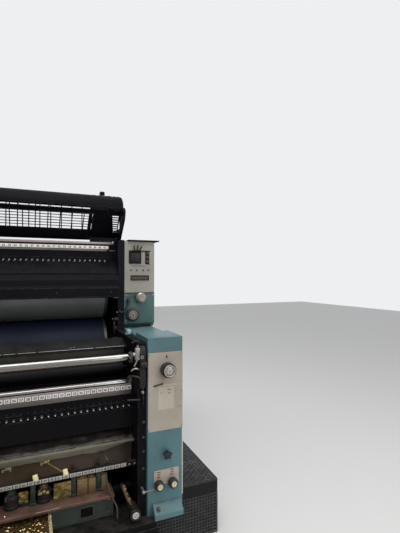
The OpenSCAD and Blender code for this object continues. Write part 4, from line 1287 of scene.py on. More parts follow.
def makeKeys():
    bm = bmesh.new()
    pin = bmesh.new()   # lower row: pins with bright domed tips
    addTurned(pin, ((0.0046, 0.006), (0.0046, 0.0125), (0.0034, 0.0152), (0.0, 0.0164)), steps=12)
    firstKey = (ductSet["firstLow"], lowDuctFace, lowKeyHeight)
    addRows(bm, "brightSteel", pin, ductSet["keysLow"], firstKey, keyStep, facing=toFrontTurn)
    makePiece("lowerInkKeys", bm, "brightSteel", stands=("ink_keys",))
    bm = bmesh.new()
    flange = bmesh.new()
    addTurned(flange, ((0.0, 0.0), (0.0075, 0.0), (0.0075, 0.003), (0.0052, 0.004), (0.0048, 0.01),
                       (0.0, 0.0102)), steps=12)
    addRows(bm, "castMetal", flange, ductSet["keysLow"], firstKey, keyStep, facing=toFrontTurn)
    makePiece("lowerKeySleeves", bm, "oilyBlack")
    bm = bmesh.new()
    lever = bmesh.new()   # upper row: short slanted levers
    addTurned(lever, ((0.0055, 0.0), (0.0055, 0.003), (0.0, 0.0034)), steps=10)
    addTube(lever, ((0.003, 0.004, 0.002), (-0.004, -0.006, 0.012), (-0.006, -0.009, 0.015)),
            0.0024, 6)
    addRows(bm, "satinSteel", lever, ductSet["keysTop"],
            (ductSet["firstTop"], topDuctFace, topKeyHeight), keyStep, facing=toFrontTurn,
            jitter=0.12, seed=4)
    makePiece("upperInkKeys", bm, "greySteel")
    bm = bmesh.new()
    addTurned(bm, ((0.0055, 0.0), (0.0055, 0.004), (0.0, 0.005)),
              toFront(0.627, topDuctFace, 1.653), 12)
    makePiece("ductPivotPins", bm, "brightSteel", mirror=True)


def makeDuctEnds():  # dark end pieces over the upper roller, with a small bright pin
    y, z = topDuctFace + 0.004, 1.79
    bm, pins = bmesh.new(), bmesh.new()
    addBlock(bm, (0.547, y, z), (0.711, y + 0.036, z + 0.0575), 0.003)
    addBlock(bm, (0.59, y - 0.003, z + 0.022), (0.706, y + 0.002, z + 0.036), 0.002)
    addBlock(bm, (0.7, y, z + 0.0365), (0.729, y + 0.14, z + 0.0575), 0.003)
    addTurned(pins, ((0.0, 0.0), (0.0055, 0.0), (0.0055, 0.006), (0.004, 0.008), (0.0, 0.008)),
              toFront(0.694, y - 0.0025, z + 0.029), 14)
    for part, name, finish in ((bm, "upperDuctEnds", "blackPaint"),
                               (pins, "ductEndPins", "brightSteel")):
        makePiece(name, part, finish, mirror=True)


def addNumbers(bm, count, first, size, shift, y, z):  # one under or over each key, centred on it
    for i in range(count):
        x = first + i * ductSet["keyStep"] - (0.0045 if i < 9 else shift)
        addText(bm, str(i + 1), size, toFront(x, y, z))


def makeScales():
    y1, z1 = topDuctFace - 0.003, 1.7706
    y2, z2 = lowDuctFace - 0.003, 0.954
    y3, z3 = low("scale_strips").y, 0.581
    d = ductSet
    marks, white = bmesh.new(), bmesh.new()
    addBlock(white, (-0.666, y1, z1), (0.666, y1 + 0.003, z1 + 0.0212), 0.0008)
    cell = blockPart((-0.0135, -0.0008, 0.0), (0.0135, 0.0006, 0.0215), 0.0005, 1)
    addRows(white, "scaleWhite", cell, d["keysLow"], (d["firstLow"], y2, z2 + 0.0085), keyStep)
    addNumbers(marks, d["keysTop"], d["firstTop"], 0.0175, 0.009, y1, z1 + 0.0045)
    addNumbers(marks, d["keysLow"], d["firstLow"], 0.018, 0.009, y2 - 0.0008, z2 + 0.013)
    gap = blockPart((-0.0022, -0.0012, 0.003), (0.0022, 0.0004, 0.0195))
    addRows(marks, "markBlack", gap, d["keysTop"] + 1, (-0.656, y3, z3), keyStep)
    addNumbers(marks, d["keysTop"], d["firstTop"], 0.016, 0.0085, y3 - 0.0008, z3 + 0.0055)
    makePiece("scaleWhites", white, "scaleWhite", stands=("scale_strips",))
    makeBlocks("registerScale", "greyScale", (
        ((-0.656, y3 - 0.0006, z3 + 0.002), (0.656, y3 + 0.001, z3 + 0.0205), 0.0005),
    ), mirror=False)
    makeBlocks("scaleBars", "bandGrey", (
        ((-0.703, y1 - 0.001, z1 + 0.0318), (0.703, y1 + 0.004, z1 + 0.0469), 0.0015),
        ((-0.711, y1 - 0.001, z1 - 0.0125), (-0.672, y1 + 0.003, z1 - 0.0065), 0.001),
        ((0.672, y1 - 0.001, z1 - 0.0125), (0.711, y1 + 0.003, z1 - 0.0065), 0.001),
        ((-0.7, y2 + 0.0004, z2 + 0.009), (0.7, y2 + 0.003, z2 + 0.041), 0.0008),
    ), mirror=False)
    makeBlocks("scaleLowBands", "bandDark", (
        ((-0.655, y1 - 0.002, z1 - 0.0149), (0.655, y1 + 0.003, z1 - 0.0031), 0.0015),
        ((-0.7, y2 - 0.003, z2 - 0.016), (0.7, y2 + 0.004, z2 + 0.0072), 0.002),
    ), mirror=False)
    makePiece("scaleNumbers", marks, "markBlack")
    makeBlocks("registerScaleBack", "darkPaint", (
        ((-0.656, y3 + 0.0004, z3 - 0.002), (0.656, y3 + 0.004, z3 + 0.021), 0.001),
    ), mirror=False)


def rollerProfile(half, radius, chamfer, reach, shaft, collar):
    return (
        (0.0, -reach), (shaft, -reach), (shaft, -half - collar), (radius * 0.7, -half - collar),
        (radius * 0.7, -half), (radius - chamfer, -half), (radius, -half + chamfer),
        (radius, half - chamfer), (radius - chamfer, half), (radius * 0.7, half),
        (radius * 0.7, half + collar), (shaft, half + collar), (shaft, reach), (0.0, reach),
    )


def makeRollers():
    for node, name, radius, body in (
        ("upper_fountain_roller", "upperFountainRoller", 0.028, "top_ink_roller"),
        ("lower_fountain_roller", "lowerFountainRoller", 0.023, "low_ink_roller"),
        ("water_roller", "chromeWaterRoller", 0.024, "damping_roller"),
    ):
        y, z = cylinderAxis(node)
        bm = bmesh.new()
        profile = rollerProfile(0.69, radius, 0.002, 0.7395, 0.011, 0.006)
        addTurned(bm, profile, toRight(0, y, z), 64)
        makePiece(name, bm, "chrome", body, (node,))
    r, half, bearer = 0.1885, 0.628, 0.018
    for node, name, finish, body, reach in (
        ("upper_plate_cylinder", "upperPlate", "plateMetal", "plate_cylinder", 0.7395),
        ("upper_blanket_cylinder", "upperBlanket", "blanketRubber", "blanket_cylinder", 0.7395),
        ("common_cylinder", "common", "satinSteel", "machine", 0.712),
        ("lower_blanket_cylinder", "lowerBlanket", "blanketRubber", "machine", 0.712),
        # the lower plate cylinder is near black: painted shade
        ("lower_plate_cylinder", "lowerPlate", "cylinderShadeBlack", "machine", 0.712),
    ):
        y, z = cylinderAxis(node)
        place = toRight(0, y, z)
        bm = bmesh.new()
        addTurned(bm, ((0.0, -half), (r, -half), (r, half), (0.0, half)), place, 128)
        makePiece(name + "Cylinder", bm, finish, body, (node,))
        bearers, bolts = bmesh.new(), bmesh.new()
        profile = (   # from the end face of the cylinder outwards
            (0.0, 0.0), (0.182, 0.0), (0.182, 0.001), (0.189, 0.001), (0.19, 0.002),
            (0.19, bearer - 0.001), (0.189, bearer), (0.12, bearer), (0.115, bearer - 0.006),
            (0.075, bearer - 0.006), (0.07, bearer), (0.045, bearer), (0.045, reach - half),
            (0.0, reach - half),
        )
        for side in (-1, 1):
            addTurned(bearers, [(p, side * (half + a)) for p, a in profile], place, 96)
            ring = facing((side, 0, 0), (side * (half + bearer - 0.0005), y, z))
            addRing(bolts, "castMetal", boltPart(0.008, 0.008), 8, 0.15, ring)
        makePiece(name + "Bearers", bearers, "oilySteel", body)
        makePiece(name + "EndBolts", bolts, "castMetal", body)
    makePiece("inkingRollerTrain", cadCopy("inking_rollers"), "inkRubber",
              stands=("inking_rollers",))


def makeCovers():
    soften((
        ("upper_covers", "steppedCover", "blackPaint", 0.0012),
        ("apron_plate", "apronSheet", "apronGrey", 0.0012),
        ("lower_guard", "lowerGuardSheet", "darkPaint", 0.0012),
    ))
    a = low("upper_covers")
    bm = bmesh.new()
    addTube(bm, ((-0.708, a.y + 0.002, a.z + 0.06), (0.708, a.y + 0.002, a.z + 0.06)), 0.004, 8)
    addBlock(bm, (-0.709, a.y - 0.001, a.z + 0.002), (0.709, a.y + 0.004, a.z + 0.008), 0.001)
    makePiece("coverBeads", bm, "blackPaint")
    spots = [(x, a.y + 0.0002, a.z + 0.034) for x in (-0.66, -0.33, 0.33, 0.66)]
    makeFixings("coverScrews", screwPart(0.0055, 0.003), spots, "oilyBlack", mirror=False)
    a = low("apron_plate")
    bm = bmesh.new()   # thin bright line in broken spans along the front of the bent sheet, and small bright specks: worn bare edge and painted highlight
    spans = ((-0.7, -0.16), (-0.152, -0.005), (0.004, 0.044), (0.056, 0.112), (0.122, 0.215),
             (0.226, 0.52), (0.53, 0.7))
    for x0, x1 in spans:
        addTube(bm, ((x0, a.y - 0.0003, a.z + 0.0135), (x1, a.y - 0.0003, a.z + 0.0135)), 0.0017, 6)
    for x, y, z in ((0.395, 0.012, 0.02), (0.413, 0.016, 0.021), (0.455, 0.004, 0.008)):
        addBlock(bm, (x - 0.006, a.y + y - 0.003, a.z + z),
                 (x + 0.006, a.y + y + 0.003, a.z + z + 0.003), 0.001)
    makePiece("apronEdgeLine", bm, "greySteel")
    joints = (-0.7, -0.165, -0.096, 0.0962, 0.1648, 0.7)   # narrow grip bar under the apron
    rows = [((x0 + 0.0012, a.y + 0.004, a.z - 0.034), (x1 - 0.0012, a.y + 0.016, a.z - 0.001),
             0.002)
            for x0, x1 in zip(joints, joints[1:])]
    rows.append(((-0.7, a.y + 0.007, a.z - 0.033), (0.7, a.y + 0.015, a.z - 0.002)))
    makeBlocks("apronGripBar", "sootGrey", rows, mirror=False)


makeDucts()
makeKeys()
makeDuctEnds()
makeScales()
makeRollers()
makeCovers()
print("ducts, rollers and covers ready")


# front table: curled sheet, register bar, clips, ledge, lay parts and tread plate

frontSet = {
    "lipRadius": 0.012, "steps": 150, "barFace": low("register_bar").y,
    "barTop": high("register_bar").z,
    "brightClips": (0.214, 0.352), "plainStop": 0.56, "hooks": (0.082, 0.257),
    "skirt": 0.03, "taper": (0.54, 0.69),
}


def rough(x, y, z, scale, seed):  # steady noise from -1 to 1
    return noise.noise(Vector((x * scale + seed, y * scale, z * scale)))


def makeCurledSheet():
    a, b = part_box("guard_bar")
    r = frontSet["lipRadius"]
    y0, z0 = a.y + r, b.z - 0.061
    sheet = [(y0 + 0.024, z0 + 0.006), (y0 + 0.031, z0 - 0.002), (y0 + 0.038, z0 - 0.016),
             (y0 + 0.043, z0 - 0.034), (y0 + 0.047, z0 - 0.06), (y0 + 0.051, z0 - 0.09),
             (y0 + 0.054, z0 - 0.115), (y0 + 0.056, z0 - 0.1355)]
    loft("curledSheet", sheet, 0.003, "oilySheet", ("guard_bar",), 0.0022, 5.0)
    lip = [(y0 + r * 0.98 * math.cos(math.radians(t)), z0 + r * 0.98 * math.sin(math.radians(t)))
           for t in range(40, 190, 15)]
    drop = frontSet["skirt"] / 6
    lip += [(a.y + 0.0012 + 0.0006 * i, z0 - drop * (i + 1)) for i in range(6)]
    loft("rolledLip", lip, 0.003, "lipPaint", (), 0.0026, 17.0, ragged=7)
    fold = [(y0 + 0.012, z0 + 0.004), (y0 + 0.02, z0 - 0.003), (y0 + 0.028, z0 - 0.001),
            (y0 + 0.036, z0 + 0.01), (y0 + 0.043, z0 + 0.018), (y0 + 0.051, z0 + 0.022),
            (y0 + 0.06, z0 + 0.033), (y0 + 0.07, z0 + 0.041), (y0 + 0.08, z0 + 0.044),
            (y0 + 0.092, z0 + 0.052), (y0 + 0.104, z0 + 0.058)]
    loft("greasyTray", fold, 0.002, "greasySheet", (), 0.0075, 31.0)


def loft(name, line, thick, finish, stands, ripple, seed, half=0.7115, ragged=0):
    # a sheet along the press whose side view is the line, thickened away from the viewer;
    # the last points of a ragged one hang down unevenly and draw in towards its ends
    steps = frontSet["steps"]
    narrow, wide = frontSet["taper"]
    part = bmesh.new()
    outer, inner = [], []
    count = len(line)
    for k in range(steps + 1):
        x = -half + 2 * half * k / steps
        front, back = [], []
        drawn = min(1.0, max(0.0, (wide - abs(x)) / (wide - narrow)))
        tear = 0.5 + 0.45 * rough(x, 0.0, 0.0, 9.0, seed) + 0.3 * rough(x, 0.0, 0.0, 31.0, seed)
        for i, (y, z) in enumerate(line):
            if ragged and i > count - ragged:
                share = (i - count + ragged) / (ragged - 1)
                z += share * frontSet["skirt"] * (1.0 - drawn * (0.55 + 0.45 * tear))
            ya, za = line[max(i - 1, 0)]
            yb, zb = line[min(i + 1, count - 1)]
            run = math.hypot(yb - ya, zb - za) or 1.0
            ny, nz = (zb - za) / run, -(yb - ya) / run
            edge = min(1.0, (half - abs(x)) / 0.02)
            wave = ripple * edge * (rough(x, y, z, 22.0, seed) + 0.5 * rough(x, y, z, 60.0, seed))
            wave = max(-ripple, min(ripple * 0.4, wave))
            front.append(part.verts.new((x, y - ny * wave, z - nz * wave)))
            back.append(part.verts.new((x, y - ny * (wave + thick), z - nz * (wave + thick))))
        outer.append(front)
        inner.append(back)
    for k in range(steps):
        for i in range(count - 1):
            part.faces.new((outer[k][i], outer[k + 1][i], outer[k + 1][i + 1], outer[k][i + 1]))
            part.faces.new((inner[k][i], inner[k][i + 1], inner[k + 1][i + 1], inner[k + 1][i]))
        for i in (0, count - 1):
            part.faces.new((outer[k][i], outer[k + 1][i], inner[k + 1][i], inner[k][i]))
    for k in (0, steps):
        for i in range(count - 1):
            part.faces.new((outer[k][i], outer[k][i + 1], inner[k][i + 1], inner[k][i]))
    bmesh.ops.recalc_face_normals(part, faces=part.faces)
    makePiece(name, part, finish, stands=stands, smooth=50.0)


def makeRegisterBar():
    soften((("register_bar", "registerBar", "darkPaint", 0.002),))
    top, face = frontSet["barTop"], frontSet["barFace"]
    bm = bmesh.new()
    for x in frontSet["brightClips"]:
        clip = bmesh.new()   # folded clip, its tongue leaning towards the middle; its near-white brass is a painted highlight
        lean = Matrix.Rotation(-0.16, 4, "Y")
        addBlock(clip, (-0.012, -0.004, -0.003), (0.01, -0.001, 0.028), 0.0012, matrix=lean)
        addBlock(clip, (-0.009, -0.0075, 0.004), (0.004, -0.003, 0.025), 0.0014, matrix=lean)
        addBlock(clip, (-0.012, -0.002, 0.0), (0.012, 0.024, 0.004), 0.0012)
        addBlock(clip, (-0.008, 0.004, 0.003), (0.008, 0.018, 0.02), 0.003)
        merge(bm, clip, at(x, face, top))
    makePiece("brassClips", bm, "glintBrass", stands=("brass_stops",), mirror=True)
    x = frontSet["plainStop"]
    makeBlocks("plainStops", "oilyBlack", (
        ((x - 0.012, face - 0.004, top - 0.0005), (x + 0.012, face + 0.026, top + 0.004), 0.001),
        ((x - 0.008, face + 0.004, top + 0.003), (x + 0.008, face + 0.018, top + 0.022), 0.003),
    ))
    # the two hooks are alike; one gets light brass as a painted highlight, the other dull grey as
    # painted shade
    bm, dull = bmesh.new(), bmesh.new()   # hooked clips on the sheet behind the bar
    for x, target in zip(frontSet["hooks"], (dull, bm)):
        clip = bmesh.new()
        addBlock(clip, (-0.02, 0.0, 0.002), (0.018, 0.005, 0.009), 0.0015)
        addBlock(clip, (-0.021, 0.0, -0.006), (-0.012, 0.005, 0.006), 0.0015)
        addTube(clip, bend((
            (-0.008, -0.001, 0.006), (-0.002, -0.004, 0.015), (0.008, -0.005, 0.016),
            (0.016, -0.003, 0.008), (0.018, -0.002, -0.004),
        )), 0.0034, 8)
        addBlock(clip, (0.01, -0.003, 0.006), (0.022, 0.004, 0.019), 0.002)
        merge(target, clip, at(x, -1.3445, 0.637))
    makePiece("brightHooks", bm, "highlightBrass", mirror=True)
    makePiece("dullHooks", dull, "wornGreyAndPaintedLight", mirror=True)
    bm = bmesh.new()
    for side in (-1, 1):   # small grey-green levers behind the bar
        addTube(bm, ((side * 0.55, -1.33, 0.634), (side * 0.556, -1.35, 0.63),
                     (side * 0.564, -1.372, 0.614), (side * 0.569, -1.394, 0.6)), 0.004, 8)
    makePiece("registerLevers", bm, "dullRod")
    bm = bmesh.new()
    addTube(bm, ((0.265, -1.336, 0.64), (0.298, -1.35, 0.618), (0.337, -1.385, 0.6)), 0.0038, 8)
    makePiece("hookRods", bm, "tanPaint", mirror=True)
    spots = [(side * x, face, 0.59) for side in (-1, 1) for x in (0.672, 0.7)]
    makeFixings("registerBarScrews", screwPart(0.005, 0.003), spots, mirror=False)


laySet = {
    "floor": high("front_ledge").z, "face": -1.3515,
    "pots": ((0.105, 0.034, False), (0.254, 0.036, True)),
    "uprights": (0.202, 0.397, 0.525),
    "folded": (   # pieces of folded brass between the posts: x, z and seed
        (0.139, 0.18, 0.463, 0.517, 3.0), (0.301, 0.384, 0.444, 0.525, 8.0),
    ),
}


def makeLayParts():
    z0 = laySet["floor"]
    y0 = laySet["face"]
    pots, brassBits, dark, glints = (bmesh.new() for i in range(4))
    for x, r, gold in laySet["pots"]:
        y = y0 + r - 0.006
        profile = ((0.0, 0.0), (r * 0.92, 0.0), (r, 0.003), (r, 0.014), (r * 0.93, 0.017),
                   (r * 0.93, 0.04), (r, 0.044), (r, 0.056), (r * 0.72, 0.064), (r * 0.4, 0.066),
                   (0.0, 0.066))
        addTurned(pots, profile, at(x, y, z0), 40)
        bit = brassBits if gold else dark
        addTurned(bit, ((0.0, 0.0), (r * 0.55, 0.0), (r * 0.6, 0.004), (r * 0.6, 0.012),
                        (r * 0.3, 0.016), (r * 0.3, 0.02), (0.0, 0.021)),
                  at(x, y, z0 + 0.064), 20)
        addTube(bit, ((x - 0.01, y - 0.01, z0 + 0.07), (x - 0.022, y - 0.026, z0 + 0.066),
                      (x - 0.026, y - r - 0.002, z0 + 0.052)), 0.004, 8)
        if gold:
            # bright brass blocks on the front of the gold pot: painted glints
            for px, pz in ((-0.024, 0.064), (-0.008, 0.07), (0.009, 0.062)):
                addBlock(glints, (x + px, y - r - 0.002, z0 + pz - 0.015),
                         (x + px + 0.014, y - r + 0.006, z0 + pz), 0.002)
            addTube(dark, ((x + 0.026, y - r + 0.01, z0 + 0.06), (x + 0.05, y - r, z0 + 0.071),
                           (x + 0.066, y - r, z0 + 0.078)), 0.0022, 8)
    for x in laySet["uprights"]:   # slotted posts with a clamp screw
        part = bmesh.new()
        addBlock(part, (-0.012, 0.0, 0.0), (0.012, 0.034, 0.128), 0.003)
        addBlock(part, (-0.015, -0.003, 0.0), (0.015, 0.037, 0.012), 0.002)
        addBlock(part, (-0.003, -0.0008, 0.03), (0.003, 0.004, 0.1), 0.0006)
        merge(dark, part, at(x, y0 + 0.004, z0))
    spots = [(x, y0 + 0.0035, z0 + 0.072) for x in laySet["uprights"]]
    addSpots(dark, "darkGreen", boltPart(0.007, 0.007), spots, facing=toFrontTurn)
    blocks, tan = bmesh.new(), bmesh.new()
    for x0, x1, zLow, zHigh, seed in laySet["folded"]:
        grow(brassBits, toFront(x0, y0 + 0.014, zLow), "sheet", "oldBrass", width=x1 - x0,
             depth=zHigh - zLow, across=18, along=16, thickness=0.01, crease=0.016, scale=26.0,
             seed=seed)
        addBlock(dark, (x0 + 0.004, y0 + 0.014, z0), (x1 - 0.004, y0 + 0.034, zHigh - 0.008), 0.002)
    for x0, x1, zHigh in ((0.414, 0.468, 0.522), (0.471, 0.51, 0.518)):
        addBlock(blocks, (x0, y0, z0), (x1, y0 + 0.048, zHigh), 0.004, 3)
        addBlock(blocks, (x0 + 0.006, y0 - 0.003, z0 + 0.01),
                 (x1 - 0.006, y0 + 0.002, zHigh - 0.012), 0.002)
        addTurned(blocks, ((0.0, 0.0), (0.009, 0.0), (0.009, 0.005), (0.0, 0.007)),
                  at((x0 + x1) / 2, y0 + 0.02, zHigh), 14)
    addBlock(tan, (0.539, y0 - 0.001, z0), (0.563, y0 + 0.046, 0.521), 0.004, 3)
    for bm, name, finish, stands in (
        (pots, "layPots", "potBrown", ("lay_drums",)),
        (brassBits, "layBrassFittings", "oldBrass", ()),
        (glints, "layBrightFittings", "highlightBrass", ()),
        (dark, "layPosts", "darkGreen", ("lay_uprights",)),
        (blocks, "sheetBlocks", "tanPaint", ("lay_blocks",)), (tan, "tanBlocks", "tanPaint", ()),
    ):
        makePiece(name, bm, finish, stands=stands, mirror=True)


ledgeSet = {"line": 0.0016, "handle": (0.431, 0.492, 0.341, 0.386)}


def makeLedge():
    soften((("lower_panel", "ledgePanel", "greenGreyPaint", 0.0015),))
    a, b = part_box("lower_panel")
    edge, inner = low("front_ledge").y, high("front_ledge")
    board = ((a.x, edge, b.z), (b.x, inner.y, inner.z), 0.0035, 3)
    makeBlocks("brownLedge", "brownPaint", (board,), mirror=False, stands=("front_ledge",))
    rail = ((-inner.x, inner.y - 0.04, b.z - 0.03), (inner.x, inner.y, b.z), 0.002)
    makeBlocks("ledgeRail", "darkPaint", (rail,), mirror=False)
    # a line along the ledge's front edge, bright in the middle span and dimmer beside it: painted
    # highlight on the lit edge, partly scratched paint
    bm, dim = bmesh.new(), bmesh.new()
    for x0, x1, target in ((0.216, 0.326, bm), (0.128, 0.206, dim), (0.334, 0.397, dim)):
        addTube(target, ((x0, edge - 0.0002, b.z + 0.0135), (x1, edge - 0.0002, b.z + 0.0135)),
                ledgeSet["line"], 6)
    for part, name, finish in ((bm, "ledgeEdgeLine", "wornGreyAndPaintedLight"),
                               (dim, "ledgeEdgeWear", "dullRod")):
        makePiece(name, part, finish, mirror=True)
    x0, x1, z0, z1 = ledgeSet["handle"]
    plate = (x0 - 0.006, x1 + 0.006, z0 - 0.006, z1 + 0.006, 0.0015, 0.0006)
    makePlates("handlePlates", "greenGreyPaint", a.y, (plate,), mirror=True)
    # dark plates over the handle recesses: painted shade inside the recesses
    bm = bmesh.new()
    frontPlate(bm, x0, x1, z0, z1, a.y - 0.0012, 0.0006)
    frontPlate(bm, x0 + 0.006, x1 - 0.004, z1 - 0.016, z1 - 0.006, a.y - 0.0016, 0.006, 0.002)
    makePiece("handleRecesses", bm, "recessShadeBlack", mirror=True)
    spots = [(side * x, a.y, z) for side in (-1, 1) for x in (0.575, 0.3) for z in (0.335, 0.405)]
    makeFixings("ledgePanelScrews", screwPart(0.0045, 0.0025), spots, mirror=False)
    part = bmesh.new()
    addTurned(part, ((0.0, 0.0), (0.007, 0.0), (0.007, 0.006), (0.004, 0.009), (0.0, 0.01)),
              steps=12)
    spots = [(side * 0.079, edge + 0.02, b.z + 0.016) for side in (-1, 1)]
    makeFixings("ledgeStuds", part, spots, "brightSteel", upTurn, mirror=False)


treadSet = {
    "sheet": {"thickness": 0.004, "crease": 0.014, "scale": 62.0, "across": 220, "along": 120,
              "seed": 2.0},
    "trim": {"width": 0.014, "thickness": 0.004, "crease": 0.009, "scale": 80.0, "across": 5,
             "along": 140, "seed": 9.0},
}


def makeTread():
    a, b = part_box("tread_plate")
    bm = bmesh.new()
    addBlock(bm, (a.x, a.y, b.z - 0.006), (b.x, b.y, b.z - 0.0035), 0.001)
    for side in (-1, 1):
        x0, x1 = sorted((side * (b.x - 0.03), side * (b.x - 0.006)))
        addBlock(bm, (x0, a.y + 0.02, 0.0), (x1, low("plinth").y, b.z - 0.005), 0.003)
        addBlock(bm, (x0, low("plinth").y, plinthTop), (x1, b.y - 0.006, b.z - 0.005), 0.002)
    addBlock(bm, (a.x + 0.02, a.y + 0.03, 0.1), (b.x - 0.02, a.y + 0.05, 0.13), 0.003)
    makePiece("treadFrame", bm, "darkPaint", stands=("tread_plate",))
    # the crumpled sheet's near-white crease colour is partly a painted highlight
    bm = bmesh.new()
    grow(bm, at(a.x + 0.002, a.y + 0.002, b.z - 0.0042), "sheet", "goldTreadPaintedGlint",
         width=b.x - a.x - 0.004, depth=b.y - a.y - 0.004, **treadSet["sheet"])
    makePiece("treadSheet", bm, "goldTreadPaintedGlint", smooth=62.0)
    bm = bmesh.new()   # crumpled strip along the right and left of the sheet; its near-white brass is a painted highlight on the rim
    grow(bm, at(b.x - 0.0135, a.y, b.z - 0.003), "sheet", "glintBrass", depth=b.y - a.y,
         **treadSet["trim"])
    makePiece("treadEdgeTrim", bm, "glintBrass", mirror=True)


def makeShaftEnds():
    x, z = frameIn - 0.028, low("shaft_ends").z + 0.054
    bm = bmesh.new()
    addTurned(bm, ((0.0, -0.04), (0.027, -0.04), (0.027, 0.03), (0.0285, 0.032), (0.0285, 0.044),
                   (0.026, 0.048), (0.02, 0.0485), (0.0, 0.0485)), toFront(x, faceY, z), 40)
    addBlock(bm, (x - 0.016, faceY + 0.004, plinthTop), (frameIn, faceY + 0.04, z), 0.003)
    makeArm(bm, (x, z), (x - 0.058, z + 0.136))
    makePiece("shaftCaps", bm, "oilyBlack", stands=("shaft_ends",), mirror=True)
    bm = bmesh.new()
    addTurned(bm, ((0.0, 0.0), (0.0165, 0.0), (0.017, 0.001), (0.017, 0.0018), (0.0155, 0.0024),
                   (0.0, 0.0024)), toFront(x, faceY - 0.0476, z), 32)
    makePiece("shaftCapDiscs", bm, "dialWhite", mirror=True)
    bm = bmesh.new()
    part = bmesh.new()
    addBlock(part, (-0.0065, -0.0013, 0.0), (0.0065, 0.0013, 0.0008), 0.0003)
    merge(bm, part, toFront(x, faceY - 0.05, z) @ Matrix.Rotation(0.7, 4, "Z"))
    addTurned(bm, ((0.0082, 0.0), (0.0095, 0.0), (0.0095, 0.0006), (0.0082, 0.0006)),
              toFront(x, faceY - 0.0499, z), 24, closed=True)
    makePiece("shaftCapMarks", bm, "greyInk", mirror=True)
    bm = bmesh.new()   # rusty links along the arm
    for px, pz, r in ((-0.047, 0.12, 0.009), (-0.037, 0.094, 0.008), (-0.026, 0.062, 0.01),
                      (-0.052, 0.136, 0.007)):
        addTurned(bm, ((0.0, 0.0), (r, 0.0), (r, 0.007), (r * 0.6, 0.01), (0.0, 0.01)),
                  toFront(x + px, faceY + 0.003, z + pz), 14)
    addTube(bm, ((x - 0.058, faceY - 0.002, z + 0.14), (x - 0.046, faceY - 0.008, z + 0.1),
                 (x - 0.028, faceY - 0.008, z + 0.06), (x - 0.014, faceY - 0.002, z + 0.034)),
                 0.0045, 8)
    makePiece("rustyArmLinks", bm, "rustyBrass", mirror=True)
    bm = bmesh.new()   # curved oil pipe beside the ledge
    addTube(bm, bend(((0.559, -1.3715, 0.545), (0.562, -1.392, 0.5), (0.573, -1.4115, 0.459),
                      (0.592, -1.43, 0.415), (0.604, -1.44, 0.385), (0.606, -1.442, 0.33))),
                      0.0045, 8)
    makePiece("oilPipes", bm, "dullRod", mirror=True)


def makeArm(bm, start, end):
    outline = []
    dx, dz = end[0] - start[0], end[1] - start[1]
    base = math.degrees(math.atan2(dz, dx))
    for centre, r, a0, a1 in ((start, 0.014, base + 90, base + 270),
                              (end, 0.009, base - 90, base + 90)):
        for i in range(9):
            a = math.radians(a0 + (a1 - a0) * i / 8)
            outline.append((centre[0] + r * math.cos(a), centre[1] + r * math.sin(a)))
    addPlate(bm, outline, 0.022, toFront(0, faceY + 0.024, 0), 0.002)


